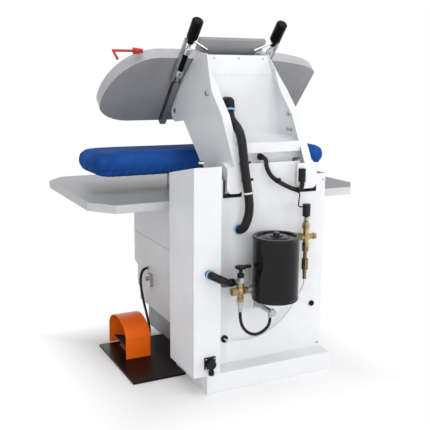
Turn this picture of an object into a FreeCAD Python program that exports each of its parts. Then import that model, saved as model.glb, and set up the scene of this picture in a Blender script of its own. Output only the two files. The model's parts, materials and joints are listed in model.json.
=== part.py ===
import FreeCAD, Part
import math
import os
import re
from types import SimpleNamespace

import Sketcher
from FreeCAD import Placement, Rotation, Vector

# Steam press machine standing on its plinth with the head swung open, in millimetres.
# The origin is on the floor in the machine's middle plane. +X points to the service cabinet,
# +Y to the rear and +Z up.

doc = FreeCAD.newDocument("steam_press")
sheet = doc.addObject("Spreadsheet::Sheet", "Dims")

sizes = {
    # Column and plinth
    "column_width": 582,
    "column_back": 212,
    "column_front": -42,
    "skin": 2,
    "panel_top": 993,
    "post_top": 930,
    "plinth_height": 86,
    "plinth_back": 300,
    "plinth_left": 354,
    "upright_gauge": 12,
    "upright_rear": 200,
    "upright_front": -30,
    "upright_top": 952,
    "beam_depth": 40,
    "beam_top": 540,
    # Slots that the arm's feet swing in
    "slot_near": 150,
    "slot_far": 240,
    "slot_bottom": 849,
    "edging_width": 6,
    "edging_proud": 3,
    # Service cabinet
    "cabinet_width": 128,
    "cabinet_front": 40,
    "cabinet_top": 1000,
    "cabinet_top_front": 949,
    # Pedestal, toe kick and floor plate
    "pedestal_front_y": -773,
    "pedestal_middle_y": -725,
    "pedestal_low_y": -690,
    "pedestal_bottom": 135,
    "upper_step": 340,
    "lower_step": 215,
    "step_slope": 14,
    "top_bevel": 30,
    "kick_half": 262,
    "kick_front": -640,
    "plate_left": 612,
    "plate_rear": 72,
    "plate_front": -436,
    "plate_gauge": 10,
    # Table
    "table_length": 1464,
    "table_rear": -45,
    "table_depth": 955,
    "table_top_z": 803,
    "table_gauge": 38,
    "table_bevel_x": 95,
    "table_bevel_y": 126,
    "edge_band": 3,
    # Arm axle, press cylinder and rod
    "axle_y": 165,
    "axle_z": 928,
    "axle_radius": 15,
    "running_gap": 0.05,
    "press_swing": 5.6,
    "tie_y": 20,
    "tie_z": 905,
    "tie_radius": 20,
    "barrel_radius": 40,
    "barrel_length": 240,
    "rod_radius": 12,
    # Arm
    "arm_half": 200,
    "arm_top_half": 164,
    "arm_gauge": 5,
    "arm_bend_z": 1300,
    "arm_top_z": 1465,
    "hub_radius": 70,
    "foot_drop": 60,
    "hub_near": 178,
    "hub_far": 227,
    "bush_wall": 4,
    "flange_width": 40,
    "crossbar_bottom": 1035,
    "crossbar_top": 1080,
    "crossbar_rear": 198,
    "crossbar_depth": 48,
    # Head hinge: the lug height is from the cover's back to the hinge, the set-back from its rear edge
    "hinge_y": -399.7,
    "hinge_z": 1192.3,
    "hinge_radius": 12,
    "lug_height": 65,
    "lug_setback": 133,
    "open_lean": 42,
    "open_gap": 10,
    "arm_nose": 55,
    # Head
    "head_depth": 416,
    "head_nose": 571,
    "head_end": 570,
    "head_thick": 70,
    "cover_wall": 3,
    "platen_thick": 30,
    "platen_proud": 6,
    "nose_wide_at": 118,
    "nose_front_run": 248,
    "nose_rear_run": 175,
    "end_front_run": 480,
    "end_wide_at": 325,
    "end_corner": 25,
    # Handles
    "rail_width": 32,
    "rail_height": 30,
    "rail_clearance": 5,
    "handle_x": "=arm_half + rail_clearance + rail_width / 2",
    "rail_length": 285,
    "rod_line": 19,
    "handle_rod_radius": 9,
    "grip_start": 550,
    "grip_length": 106,
    "grip_radius": 27,
    "clamp_size": 36,
    "inner_clamp": 341,
    "outer_clamp": 479,
    # Bonnet between the handles
    "bonnet_half": 176,
    "bonnet_waist": 148,
    "bonnet_front": 546,
    "bonnet_rear": 250,
    "bonnet_shoulder": 478,
    "bonnet_height": 20,
    # Buck and pad
    "press_gap": 0.6,
    "pad_shift": 20,
    "pad_half_length": 650,
    "pad_depth": 390,
    "pad_bottom": 885,
    "pad_corner": 60,
    "buck_inset": 60,
    "buck_height": 60,
    "buck_wall": 8,
    "soft_gap": 0.3,
    "stand_half": 190,
    "stand_depth": 120,
    "stand_gap": 5,
    "stand_beam": 20,
    # Pedal and guard
    "guard_near_x": 428,
    "guard_width": 126,
    "guard_rear": -188,
    "guard_span": 259,
    "guard_height": 180,
    "guard_arch": 80,
    "guard_gauge": 3,
    "pedal_axis_x": 450,
    "pedal_axis_z": 46,
    "pedal_pin_radius": 5,
    "pedal_width": 124,
    "pedal_length": 104,
    "pedal_rise": 12,
    # Tank and fittings on the back
    "tank_x": 40,
    "tank_radius": 102,
    "tank_bottom": 405,
    "tank_top": 690,
    "tank_standoff": 18,
    "tank_wall": 3,
    "cross_x": 196,
    "cross_y": 300,
    "cross_z": 452,
    "pipe_radius": 13,
    "valve_x": -159,
    "valve_standoff": 50,
    "drain_hose_radius": 7,
    "clear_tube_radius": 4,
    "cable_radius": 3,
    "feed_hose_radius": 17,
    "steam_hose_radius": 20,
    "sleeve_radius": 10,
    "air_tube_radius": 5,
}
for row, (name, size) in enumerate(sizes.items(), start=1):
    sheet.set("A%d" % row, name)
    sheet.set("B%d" % row, str(size))
    sheet.setAlias("B%d" % row, name)
doc.recompute()
d = SimpleNamespace(**{name: float(getattr(sheet, name)) for name in sizes})

nodes = []


def bound(text):
    """The expression with every size's name pointed at its cell."""
    return re.sub(r"[a-z][a-z_]*[a-z]",
            lambda m: "Dims." + m.group(0) if m.group(0) in sizes else m.group(0), str(text))


def node(obj, name):
    """Marks an object as a finished piece of the machine."""
    obj.Label = name
    nodes.append(obj)
    return obj


def box(name, x, y, z):
    """A block between two expressions along each axis."""
    obj = doc.addObject("Part::Box", name)
    for side, base, (low, high) in (("Length", "x", x), ("Width", "y", y), ("Height", "z", z)):
        obj.setExpression(side, bound("(%s) - (%s)" % (high, low)))
        obj.setExpression(".Placement.Base." + base, bound(low))
    return obj


TURN = {"x": Rotation(Vector(0, 1, 0), 90), "y": Rotation(Vector(1, 0, 0), -90), "z": Rotation()}


def rod(name, axis, radius, start, end, a, b):
    """A round bar along one axis from start to end; a and b are its place on the other two axes."""
    obj = doc.addObject("Part::Cylinder", name)
    obj.setExpression("Radius", bound(radius))
    obj.setExpression("Height", bound("(%s) - (%s)" % (end, start)))
    obj.Placement = Placement(Vector(), TURN[axis])
    others = [c for c in "xyz" if c != axis]
    for base, text in zip([axis] + others, (start, a, b)):
        obj.setExpression(".Placement.Base." + base, bound(text))
    return obj


def cone(name, axis, radius_start, radius_end, start, end, a, b):
    """A tapered round along one axis."""
    obj = doc.addObject("Part::Cone", name)
    obj.setExpression("Radius1", bound(radius_start))
    obj.setExpression("Radius2", bound(radius_end))
    obj.setExpression("Height", bound("(%s) - (%s)" % (end, start)))
    obj.Placement = Placement(Vector(), TURN[axis])
    others = [c for c in "xyz" if c != axis]
    for base, text in zip([axis] + others, (start, a, b)):
        obj.setExpression(".Placement.Base." + base, bound(text))
    return obj


def fuse(name, *parts):
    obj = doc.addObject("Part::MultiFuse", name)
    obj.Shapes = list(parts)
    return obj


def cut(name, base, *tools):
    obj = doc.addObject("Part::Cut", name)
    obj.Base = base
    obj.Tool = tools[0] if len(tools) == 1 else fuse(name + "_tools", *tools)
    return obj


def group(name, *parts):
    """Separate solids kept in one piece's file."""
    obj = doc.addObject("Part::Compound", name)
    obj.Links = list(parts)
    return obj


def shape(name, solid):
    obj = doc.addObject("Part::Feature", name)
    obj.Shape = solid
    return obj


def profile(name, plane, points, start, end):
    """A closed outline of straight edges, padded along the plane's normal from start to end."""
    body = doc.addObject("PartDesign::Body", name)
    sketch = body.newObject("Sketcher::SketchObject", name + "_outline")
    origin = [o for o in body.Origin.OriginFeatures if o.Role == plane][0]
    sketch.AttachmentSupport = [(origin, "")]
    sketch.MapMode = "FlatFace"
    count = len(points)
    ring = [Vector(math.cos(math.tau * i / count), math.sin(math.tau * i / count),
            0) for i in range(count)]
    for i in range(count):
        sketch.addGeometry(Part.LineSegment(ring[i], ring[(i + 1) % count]))
    for i in range(count):
        sketch.addConstraint(Sketcher.Constraint("Coincident", i, 2, (i + 1) % count, 1))
    for i, (across, up) in enumerate(points):
        for kind, spot, text in (("DistanceX", ring[i].x, across), ("DistanceY", ring[i].y, up)):
            index = sketch.addConstraint(Sketcher.Constraint(kind, -1, 1, i, 1, spot))
            sketch.setExpression("Constraints[%d]" % index, bound(text))
    pad = body.newObject("PartDesign::Pad", name + "_pad")
    pad.Profile = sketch
    pad.setExpression("Length", bound("(%s) - (%s)" % (end, start)))
    normal = {"XY_Plane": "z", "YZ_Plane": "x"}[plane]
    body.setExpression(".Placement.Base." + normal, bound(start))
    return body


def bent(points):
    """A path of straight runs joined by arcs, each as large as its runs allow, and the arcs' radii."""
    edges = []
    radii = []
    start = points[0]
    for before, corner, after in zip(points, points[1:], points[2:]):
        back = (before - corner).normalize()
        ahead = (after - corner).normalize()
        turn = math.pi - back.getAngle(ahead)
        reach = 0.45 * min((before - corner).Length, (after - corner).Length)
        radii.append(reach / math.tan(turn / 2))
        enter = corner + back * reach
        leave = corner + ahead * reach
        middle = (back + ahead).normalize()
        centre = corner + middle * (radii[-1] / math.cos(turn / 2))
        edges.append(Part.LineSegment(start, enter).toShape())
        edges.append(Part.Arc(enter, centre - middle * radii[-1], leave).toShape())
        start = leave
    edges.append(Part.LineSegment(start, points[-1]).toShape())
    return Part.Wire(edges), radii


def tube(name, radius, *points):
    """A round tube along a bent path; its volume is compared with its section times its length."""
    wire, radii = bent([Vector(*p) for p in points])
    first = Vector(*points[1]) - Vector(*points[0])
    section = Part.Wire(Part.makeCircle(radius, Vector(*points[0]), first))
    solid = wire.makePipeShell([section], True, False)
    share = solid.Volume / (math.pi * radius ** 2 * wire.Length)
    print(name, "length %.0f, tightest radius %.0f, volume share %.4f" % (wire.Length, min(radii),
            share))
    return shape(name, solid)


def outline(points, offset=Vector()):
    """A closed polygon as a face, from (x, y, z) corners."""
    corners = [Vector(*p) + offset for p in points]
    return Part.Face(Part.makePolygon(corners + corners[:1]))


# Plinth: a closed steel tray that carries the column and the service cabinet.
HALF = "column_width/2"
plinth_outer = box("plinth_outer", ("-" + HALF, "plinth_left"), ("column_front", "plinth_back"), (0,
        "plinth_height"))
plinth_inner = box("plinth_inner", ("-%s + skin" % HALF, "plinth_left - skin"),
                   ("column_front + skin", "plinth_back - skin"), ("skin", "plinth_height - skin"))
node(cut("plinth", plinth_outer, plinth_inner), "plinth")

# Toe kick: the recessed box under the pedestal.
kick_outer = box("kick_outer", ("-kick_half", "kick_half"), ("kick_front", "column_front"), (0,
        "pedestal_bottom"))
kick_inner = box("kick_inner", ("skin - kick_half", "kick_half - skin"),
                 ("kick_front + skin", "column_front - skin"), ("skin", "pedestal_bottom - skin"))
node(cut("toe_kick", kick_outer, kick_inner), "toe_kick")

# Floor plate: a black plate on the floor that holds the pedal.
node(profile("floor_plate", "XY_Plane", [
    ("plinth_left", "plate_rear"), ("plate_left", "plate_rear"), ("plate_left", "plate_front"),
    ("kick_half", "plate_front"), ("kick_half", "column_front"), ("plinth_left", "column_front"),
], 0, "plate_gauge"), "floor_plate")

# Bearing uprights: two thick plates on the plinth that hold the arm's axle.
uprights = []
for side, near, far in (("left", "slot_far", "slot_far + upright_gauge"), ("right",
        "-slot_far - upright_gauge", "-slot_far")):
    blank = box("upright_%s_blank" % side, (near, far), ("upright_front", "upright_rear"),
            ("plinth_height", "upright_top"))
    bore = rod("upright_%s_bore" % side, "x", "axle_radius", near + " - 1", far + " + 1", "axle_y",
            "axle_z")
    uprights.append(cut("upright_" + side, blank, bore))
node(group("bearing_uprights", *uprights), "bearing_uprights")
node(rod("arm_axle", "x", "axle_radius", "-slot_far - upright_gauge - 14",
        "slot_far + upright_gauge + 14",
         "axle_y", "axle_z"), "arm_axle")

# Crossbeam between the uprights, with the press cylinder standing on it.
BEAM_Y = ("tie_y - beam_depth/2", "tie_y + beam_depth/2")
node(box("frame_crossbeam", ("-slot_far", "slot_far"), BEAM_Y, ("beam_top - beam_depth",
        "beam_top")), "frame_crossbeam")
barrel = rod("barrel", "z", "barrel_radius", "beam_top + 20", "beam_top + 20 + barrel_length", 0,
        "tie_y")
barrel_foot = box("barrel_foot", ("-barrel_radius", "barrel_radius"), BEAM_Y, ("beam_top",
        "beam_top + 20"))
gland = rod("gland", "z", "barrel_radius*0.55", "beam_top + 20 + barrel_length",
        "beam_top + 34 + barrel_length", 0, "tie_y")
barrel_bore = rod("barrel_bore", "z", "rod_radius + running_gap", "beam_top + 60",
        "beam_top + 40 + barrel_length", 0, "tie_y")
node(cut("press_cylinder", fuse("barrel_body", barrel, barrel_foot, gland), barrel_bore),
        "press_cylinder")
YOKE_GAP = "4"
press_bar = rod("press_bar", "z", "rod_radius", "beam_top + 80", "tie_z - tie_radius - 8", 0, "tie_y")
yoke = box("yoke", ("-22", "22"), ("tie_y - tie_radius - 12", "tie_y + tie_radius + 12"),
           ("tie_z - tie_radius - 20", "tie_z + tie_radius + 8"))
yoke_eye = rod("yoke_eye", "x", "tie_radius + " + YOKE_GAP, "-30", "30", "tie_y", "tie_z")
node(cut("press_rod", fuse("press_rod_body", press_bar, yoke), yoke_eye), "press_rod")

# Back panel with the two open slots for the arm's feet and a lower right post.
panel_blank = box("panel_blank", ("-" + HALF, HALF), ("column_back - skin", "column_back"),
        ("plinth_height", "panel_top"))
slots = []
for side, near, far in (("left", "slot_near", "slot_far"), ("right", "-slot_far", "-slot_near")):
    slots.append(box("slot_" + side, (near, far), ("column_back - skin - 5", "column_back + 5"),
            ("slot_bottom", "panel_top + 5")))
post_cut = box("post_cut", ("-%s - 5" % HALF, "-slot_far"), ("column_back - skin - 5",
        "column_back + 5"), ("post_top", "panel_top + 5"))
post_cut_left = box("post_cut_left", ("slot_far", HALF + " + 5"), ("column_back - skin - 5",
        "column_back + 5"),
                    ("post_top", "panel_top + 5"))
node(cut("back_panel", panel_blank, post_cut, post_cut_left, *slots), "back_panel")

# Side panels of the column and the pedestal in one sheet each, with the pedestal's stepped front.
PANEL_SIDE = [
    ("column_back - skin", "plinth_height"), ("column_back - skin", "post_top"), ("column_front",
            "post_top"),
    ("column_front", "table_top_z - table_gauge"), ("pedestal_front_y + top_bevel",
            "table_top_z - table_gauge"),
    ("pedestal_front_y", "table_top_z - table_gauge - top_bevel"), ("pedestal_front_y", "upper_step"),
    ("pedestal_middle_y", "upper_step - step_slope"), ("pedestal_middle_y", "lower_step"),
    ("pedestal_low_y", "lower_step - step_slope"), ("pedestal_low_y", "pedestal_bottom"),
    ("column_front", "pedestal_bottom"), ("column_front", "plinth_height"),
]
node(profile("side_panel_left", "YZ_Plane", PANEL_SIDE, HALF + " - skin", HALF), "side_panel_left")
node(profile("side_panel_right", "YZ_Plane", PANEL_SIDE, "-" + HALF, "skin - " + HALF),
        "side_panel_right")

# Pedestal front: one folded sheet between the side panels.
front_face = PANEL_SIDE[4:11]
front_back = [("(%s) + skin" % across, up) for across, up in reversed(front_face)]
node(profile("pedestal_front", "YZ_Plane", front_face + front_back, "skin - " + HALF,
        HALF + " - skin"), "pedestal_front")

# Column top cover: a sloping sheet between the arm's feet that turns down in front, and the front sheet.
top_sheet = profile("top_sheet", "YZ_Plane", [
    ("column_back - skin", "panel_top"), ("column_front", "post_top"), ("column_front",
            "table_top_z - table_gauge"),
    ("column_front + skin", "table_top_z - table_gauge"), ("column_front + skin", "post_top - skin"),
    ("column_back - skin", "panel_top - skin"),
], "-slot_near", "slot_near")
front_sheet = box("front_sheet", ("skin - " + HALF, HALF + " - skin"), ("column_front",
        "column_front + skin"),
                  ("table_top_z - table_gauge", "post_top - 30"))
node(fuse("column_top_cover", top_sheet, front_sheet), "column_top_cover")

# Service cabinet: a tall closed box beside the column with a sloping top.
cabinet_outer = profile("cabinet_outer", "YZ_Plane", [
    ("plinth_back", "plinth_height"), ("plinth_back", "cabinet_top"), ("cabinet_front",
            "cabinet_top_front"),
    ("cabinet_front", "plinth_height"),
], HALF, HALF + " + cabinet_width")
cabinet_inner = profile("cabinet_inner", "YZ_Plane", [
    ("plinth_back - skin", "plinth_height + skin"), ("plinth_back - skin", "cabinet_top - 2*skin"),
    ("cabinet_front + skin", "cabinet_top_front - 2*skin"), ("cabinet_front + skin",
            "plinth_height + skin"),
], HALF + " + skin", HALF + " + cabinet_width - skin")
node(cut("service_cabinet", cabinet_outer, cabinet_inner), "service_cabinet")

# Rubber edging round both slots, and two grommets in the back panel.
EDGE_Y = ("column_back - skin - edging_proud", "column_back + edging_proud")
rubbers = []
for side, near, far in (("left", "slot_near", "slot_far"), ("right", "-slot_far", "-slot_near")):
    strip = box("edging_%s_strip" % side, (near, far), EDGE_Y, ("slot_bottom", "post_top - 2"))
    hollow = box("edging_%s_hollow" % side, (near + " + edging_width", far + " - edging_width"),
                 ("column_back - 20", "column_back + 20"), ("slot_bottom + edging_width",
                         "post_top + 20"))
    rubbers.append(cut("edging_" + side, strip, hollow))
for side, x, z, radius in (("left", "228", "206", "17"), ("right", "-236", "308", "13")):
    ring = rod("grommet_%s_ring" % side, "y", radius, "column_back", "column_back + 7", x, z)
    hole = rod("grommet_%s_hole" % side, "y", radius + "*0.62", "column_back + 2",
            "column_back + 10", x, z)
    rubbers.append(cut("grommet_" + side, ring, hole))
node(group("panel_rubbers", *rubbers), "panel_rubbers")
screws = []
for i, (x, z) in enumerate((("-%s + 14" % HALF, "plinth_height + 18"), ("-%s + 14" % HALF,
        "post_top - 30"),
                            (HALF + " - 14", "plinth_height + 18"), (HALF + " - 14", "post_top - 30"))):
    screws.append(rod("panel_screw_%d" % i, "y", "5", "column_back", "column_back + 3", x, z))
node(group("panel_screws", *screws), "panel_screws")

# Adjustable arm stop: a rubber buffer with a cap, standing on the cabinet's sloping top.
stop_stem = rod("stop_stem", "z", "8", "cabinet_top - 40", "cabinet_top + 8", 358, "plinth_back - 60")
stop_cap = rod("stop_cap", "z", "11", "cabinet_top + 8", "cabinet_top + 20", 358, "plinth_back - 60")
node(cut("arm_stop", fuse("arm_stop_body", stop_stem, stop_cap), cabinet_outer), "arm_stop")

# Power inlet: a square plate with a round boss and a gland that points down.
inlet_plate = box("inlet_plate", (318, 370), ("plinth_back", "plinth_back + 8"), (121, 173))
inlet_boss = rod("inlet_boss", "y", "19", "plinth_back + 8", "plinth_back + 30", 344, 145)
inlet_gland = rod("inlet_gland", "z", "10", "96", "141", 344, "plinth_back + 19")
node(fuse("power_inlet", inlet_plate, inlet_boss, inlet_gland), "power_inlet")


# Table: a laminated board with bevelled corners, a cut-out for the buck's stand and an edge band.
def table_wire(inset):
    half = d.table_length / 2
    rear = d.table_rear
    front = rear - d.table_depth
    low = d.table_top_z - d.table_gauge
    corners = []
    for sx, y, sy in ((1, rear, -1), (1, front, 1), (-1, front, 1), (-1, rear, -1)):
        along = Vector(sx * (half - d.table_bevel_x), y, low)
        end = Vector(sx * half, y + sy * d.table_bevel_y, low)
        corners += [along, end] if (sx > 0) == (sy < 0) else [end, along]
    wire = Part.makePolygon(corners + corners[:1])
    return wire.makeOffset2D(-inset, 2) if inset else wire


board = Part.Face(table_wire(d.edge_band)).extrude(Vector(0, 0, d.table_gauge))
band = Part.Face(table_wire(0)).extrude(Vector(0, 0, d.table_gauge)).cut(board)

# The closed head sits level on the pad: the arm's pressing swing carries the hinge down to this place.
swing = math.radians(d.press_swing)
reach_y = d.hinge_y - d.axle_y
reach_z = d.hinge_z - d.axle_z
closed_y = d.axle_y + reach_y * math.cos(swing) - reach_z * math.sin(swing)
closed_z = d.axle_z + reach_y * math.sin(swing) + reach_z * math.cos(swing)
pad_top = closed_z - d.lug_height - d.head_thick - d.press_gap
pad_y = closed_y + d.lug_setback - d.head_depth / 2 + d.pad_shift
print("pad top %.2f at y %.1f, hinge closed at %.1f, %.1f" % (pad_top, pad_y, closed_y, closed_z))

cut_half = d.stand_half + d.stand_gap
cut_depth = d.stand_depth + 2 * d.stand_gap
hole = Part.makeBox(2 * cut_half, cut_depth, d.table_gauge * 3,
                    Vector(-cut_half, pad_y - cut_depth / 2, d.table_top_z - 2 * d.table_gauge))
node(shape("table_top", board.cut(hole)), "table_top")
node(shape("table_edging", band), "table_edging")

# Buck stand: a beam between the pedestal's sides and a box column up to the buck.
beam_half = d.column_width / 2 - d.skin
beam_z = d.table_top_z - d.table_gauge - d.stand_beam
stand = Part.makeBox(2 * beam_half, d.stand_depth, d.stand_beam, Vector(-beam_half,
        pad_y - d.stand_depth / 2, beam_z))
stand = stand.fuse(Part.makeBox(2 * d.stand_half, d.stand_depth, d.pad_bottom - beam_z,
                                Vector(-d.stand_half, pad_y - d.stand_depth / 2, beam_z)))
node(shape("buck_stand", stand.removeSplitter()), "buck_stand")


def rounded(half_length, half_depth, corner, z):
    """A level rounded rectangle about the pad's middle, as lines and quarter arcs."""
    edges = []
    k = corner * (1 - math.sqrt(0.5))
    for sx, sy in ((1, 1), (-1, 1), (-1, -1), (1, -1)):
        x = sx * half_length
        y = pad_y + sy * half_depth
        on_end = Vector(x, y - sy * corner, z)
        on_side = Vector(x - sx * corner, y, z)
        through = Vector(x - sx * k, y - sy * k, z)
        pair = (on_end, on_side) if sx * sy > 0 else (on_side, on_end)
        edges.append(Part.Arc(pair[0], through, pair[1]).toShape())
    joined = []
    for i, edge in enumerate(edges):
        joined.append(edge)
        ahead = edges[(i + 1) % 4]
        joined.append(Part.LineSegment(edge.Vertexes[-1].Point, ahead.Vertexes[0].Point).toShape())
    return Part.Wire(joined)


# Buck: the hollow steam chest inside the pad.
half_buck = d.pad_half_length - d.buck_inset
half_buck_depth = d.pad_depth / 2 - d.buck_inset


def buck_block(grow, low, high):
    wire = rounded(half_buck + grow, half_buck_depth + grow, d.pad_corner * 0.6 + grow, low)
    return Part.Face(wire).extrude(Vector(0, 0, high - low))


buck = buck_block(0, d.pad_bottom, d.pad_bottom + d.buck_height)
chest = buck_block(-d.buck_wall, d.pad_bottom + d.buck_wall, d.pad_bottom + d.buck_height - d.buck_wall)
node(shape("buck", buck.cut(chest)), "buck")

# Pad: a crowned cushion, fullest at mid height and drawn in under the buck.
height = pad_top - d.pad_bottom
sections = []
for share, inset in ((0, 52), (0.14, 20), (0.36, 2), (0.55, 0), (0.76, 8), (0.9, 34), (0.97, 80),
        (1, 150)):
    corner = max(d.pad_corner - inset * 0.2, 12)
    sections.append(rounded(d.pad_half_length - inset, d.pad_depth / 2 - inset, corner,
            d.pad_bottom + share * height))
cushion = Part.makeLoft(sections, True, True)
seat = buck_block(d.soft_gap, d.pad_bottom - 5, d.pad_bottom + d.buck_height + d.soft_gap)
node(shape("buck_pad", cushion.cut(seat)), "buck_pad")


# Pedal guard: an arched sheet over the pedal, open at both ends along X.
def arch(inset):
    rear = d.guard_rear - inset
    front = d.guard_rear - d.guard_span + inset
    low = d.plate_gauge
    shoulder = low + d.guard_height - d.guard_arch
    crown = low + d.guard_height - inset
    middle = (rear + front) / 2
    x = d.guard_near_x
    curve = []
    for y in (rear, front):
        side = Vector(x, y, shoulder)
        top = Vector(x, middle, crown)
        corner = Vector(x, y, crown)
        arc = Part.BezierCurve()
        arc.setPoles([side, side + (corner - side) * 0.55, top + (corner - top) * 0.55, top])
        curve.append(arc.toShape())
    legs = [Part.LineSegment(Vector(x, y, low), Vector(x, y, shoulder)).toShape() for y in (rear, front)]
    base = Part.LineSegment(Vector(x, front, low), Vector(x, rear, low)).toShape()
    ring = Part.Wire(Part.__sortEdges__([legs[0], curve[0], curve[1], legs[1], base]))
    return Part.Face(ring).extrude(Vector(d.guard_width, 0, 0))


node(shape("pedal_guard", arch(0).cut(arch(d.guard_gauge))), "pedal_guard")

# Pedal bracket with two ears and a fixed pin, and the pedal that turns on the pin.
pedal_y = d.guard_rear - d.guard_span / 2
half_pedal = d.pedal_width / 2
PEDAL_Y = ("guard_rear - guard_span/2 - pedal_width/2", "guard_rear - guard_span/2 + pedal_width/2")
bracket_parts = [box("bracket_base", ("pedal_axis_x - 14", "pedal_axis_x + 70"),
                     (PEDAL_Y[0] + " - 8", PEDAL_Y[1] + " + 8"), ("plate_gauge", "plate_gauge + 4"))]
for side, low, high in (("front", PEDAL_Y[0] + " - 8", PEDAL_Y[0]), ("rear", PEDAL_Y[1],
        PEDAL_Y[1] + " + 8")):
    bracket_parts.append(box("ear_" + side, ("pedal_axis_x - 12", "pedal_axis_x + 12"), (low, high),
                             ("plate_gauge", "pedal_axis_z + 12")))
bracket_parts.append(rod("pedal_pin", "y", "pedal_pin_radius", PEDAL_Y[0] + " - 10",
        PEDAL_Y[1] + " + 10",
                         "pedal_axis_x", "pedal_axis_z"))
node(fuse("pedal_bracket", *bracket_parts), "pedal_bracket")
knuckle = rod("knuckle", "y", "pedal_pin_radius + 6", PEDAL_Y[0] + " + soft_gap",
        PEDAL_Y[1] + " - soft_gap",
              "pedal_axis_x", "pedal_axis_z")
tread = profile("tread", "XY_Plane", [
    ("0", "soft_gap - pedal_width/2"), ("pedal_length", "soft_gap - pedal_width/2"),
    ("pedal_length", "pedal_width/2 - soft_gap"), ("0", "pedal_width/2 - soft_gap"),
], 0, 7)
tread.setExpression(".Placement.Base.x", bound("pedal_axis_x"))
tread.setExpression(".Placement.Base.y", bound("guard_rear - guard_span/2"))
tread.setExpression(".Placement.Base.z", bound("pedal_axis_z"))
tread.Placement.Rotation = Rotation(Vector(0, 1, 0), -d.pedal_rise)
pin_hole = rod("pedal_pin_hole", "y", "pedal_pin_radius + running_gap", PEDAL_Y[0] + " - 20",
        PEDAL_Y[1] + " + 20",
               "pedal_axis_x", "pedal_axis_z")
node(cut("pedal", fuse("pedal_body", knuckle, tread), pin_hole), "pedal")

# Tank: a pressed can with a stepped top, held on the back panel by a saddle.
TANK_Y = "column_back + tank_standoff + tank_radius"
tank_can = rod("tank_can", "z", "tank_radius", "tank_bottom", "tank_top", "tank_x", TANK_Y)
tank_groove = rod("tank_groove", "z", "tank_radius - 14", "tank_top - 8", "tank_top + 5", "tank_x",
        TANK_Y)
tank_dome = cone("tank_dome", "z", "tank_radius*0.62", "tank_radius*0.5", "tank_top - 8",
        "tank_top - 1", "tank_x", TANK_Y)
tank_hollow = rod("tank_hollow", "z", "tank_radius - tank_wall", "tank_bottom + tank_wall",
        "tank_top - 8 - tank_wall",
                  "tank_x", TANK_Y)
tank_skin = cut("tank_skin", tank_can, tank_groove, tank_hollow)
node(fuse("tank", tank_skin, tank_dome), "tank")
saddle = box("saddle", ("tank_x - 40", "tank_x + 40"), ("column_back",
        "column_back + tank_standoff + 14"),
             ("tank_bottom + 40", "tank_top - 60"))
node(cut("tank_bracket", saddle, rod("saddle_round", "z", "tank_radius", "tank_bottom", "tank_top",
        "tank_x", TANK_Y)),
     "tank_bracket")

# Brass cross with its plug and nut, fed from behind and joined to the tank by a nipple.
cross = [
    rod("cross_stem", "z", "pipe_radius", "cross_z - 48", "cross_z + 62", "cross_x", "cross_y"),
    rod("cross_nut", "z", "pipe_radius + 4", "cross_z + 18", "cross_z + 36", "cross_x", "cross_y"),
    rod("cross_arm", "x", "pipe_radius", "cross_x - 34", "cross_x + 34", "cross_y", "cross_z"),
    rod("cross_plug", "x", "pipe_radius + 4", "cross_x + 20", "cross_x + 44", "cross_y", "cross_z"),
    rod("cross_back", "y", "pipe_radius", "cross_y - 48", "cross_y", "cross_x", "cross_z + 26"),
    rod("cross_inlet", "x", "pipe_radius", "cross_x", "cross_x + 30", "cross_y - 48", "cross_z + 26"),
]
node(fuse("brass_cross", *cross), "brass_cross")
nipple_blank = fuse("nipple_blank",
                    rod("nipple", "x", "pipe_radius - 3", "cross_x - 80", "cross_x - 34", "cross_y",
                            "cross_z"),
                    rod("nipple_flange", "x", "pipe_radius + 7", "cross_x - 62", "cross_x - 44",
                            "cross_y", "cross_z"))
fittings = [cut("tank_nipple", nipple_blank, rod("nipple_round", "z", "tank_radius", "tank_bottom",
        "tank_top", "tank_x", TANK_Y))]
fittings.append(fuse("hose_ferrule",
                     rod("ferrule_nut", "z", "pipe_radius + 1", "cross_z - 64", "cross_z - 48",
                             "cross_x", "cross_y"),
                     rod("ferrule", "z", "drain_hose_radius + 3", "cross_z - 94", "cross_z - 64",
                             "cross_x", "cross_y")))
DRAIN_Z = "tank_bottom - 58"
DRAIN_X = "tank_x + 20"
fittings.append(fuse("drain_valve",
                     box("drain_plate", (DRAIN_X + " - 20", DRAIN_X + " + 20"), ("column_back",
                             "column_back + 4"), (DRAIN_Z + " - 20", DRAIN_Z + " + 20")),
                     rod("drain_body", "y", "12", "column_back", TANK_Y + " + 8", DRAIN_X, DRAIN_Z),
                     rod("drain_cap", "y", "16", TANK_Y + " + 8", TANK_Y + " + 25", DRAIN_X, DRAIN_Z),
                     rod("drain_barb", "z", "drain_hose_radius + 3", DRAIN_Z + " - 26", DRAIN_Z,
                             DRAIN_X, TANK_Y + " - 4")))

# Steam valve on the right: a brass body on a stub from the panel, with a coil above and a check valve below.
VALVE_Y = "column_back + valve_standoff"
valve = [
    rod("valve_stub", "y", "9", "column_back", VALVE_Y, "valve_x", "650"),
    rod("valve_body", "z", "13", "604", "722", "valve_x", VALVE_Y),
    rod("valve_waist", "z", "17", "690", "712", "valve_x", VALVE_Y),
    rod("valve_heart", "z", "18", "636", "664", "valve_x", VALVE_Y),
    rod("valve_branch", "x", "11", "valve_x - 36", "valve_x + 26", VALVE_Y, "650"),
]
node(fuse("steam_valve_body", *valve), "steam_valve_body")
coil = [
    rod("coil_stem", "z", "7", "722", "746", "valve_x", VALVE_Y),
    rod("coil", "z", "18", "746", "802", "valve_x", VALVE_Y),
    rod("coil_knob", "x", "14", "valve_x - 52", "valve_x - 36", VALVE_Y, "650"),
]
node(group("valve_coil", fuse("coil_body", *coil[:2]), coil[2]), "valve_coil")
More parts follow.
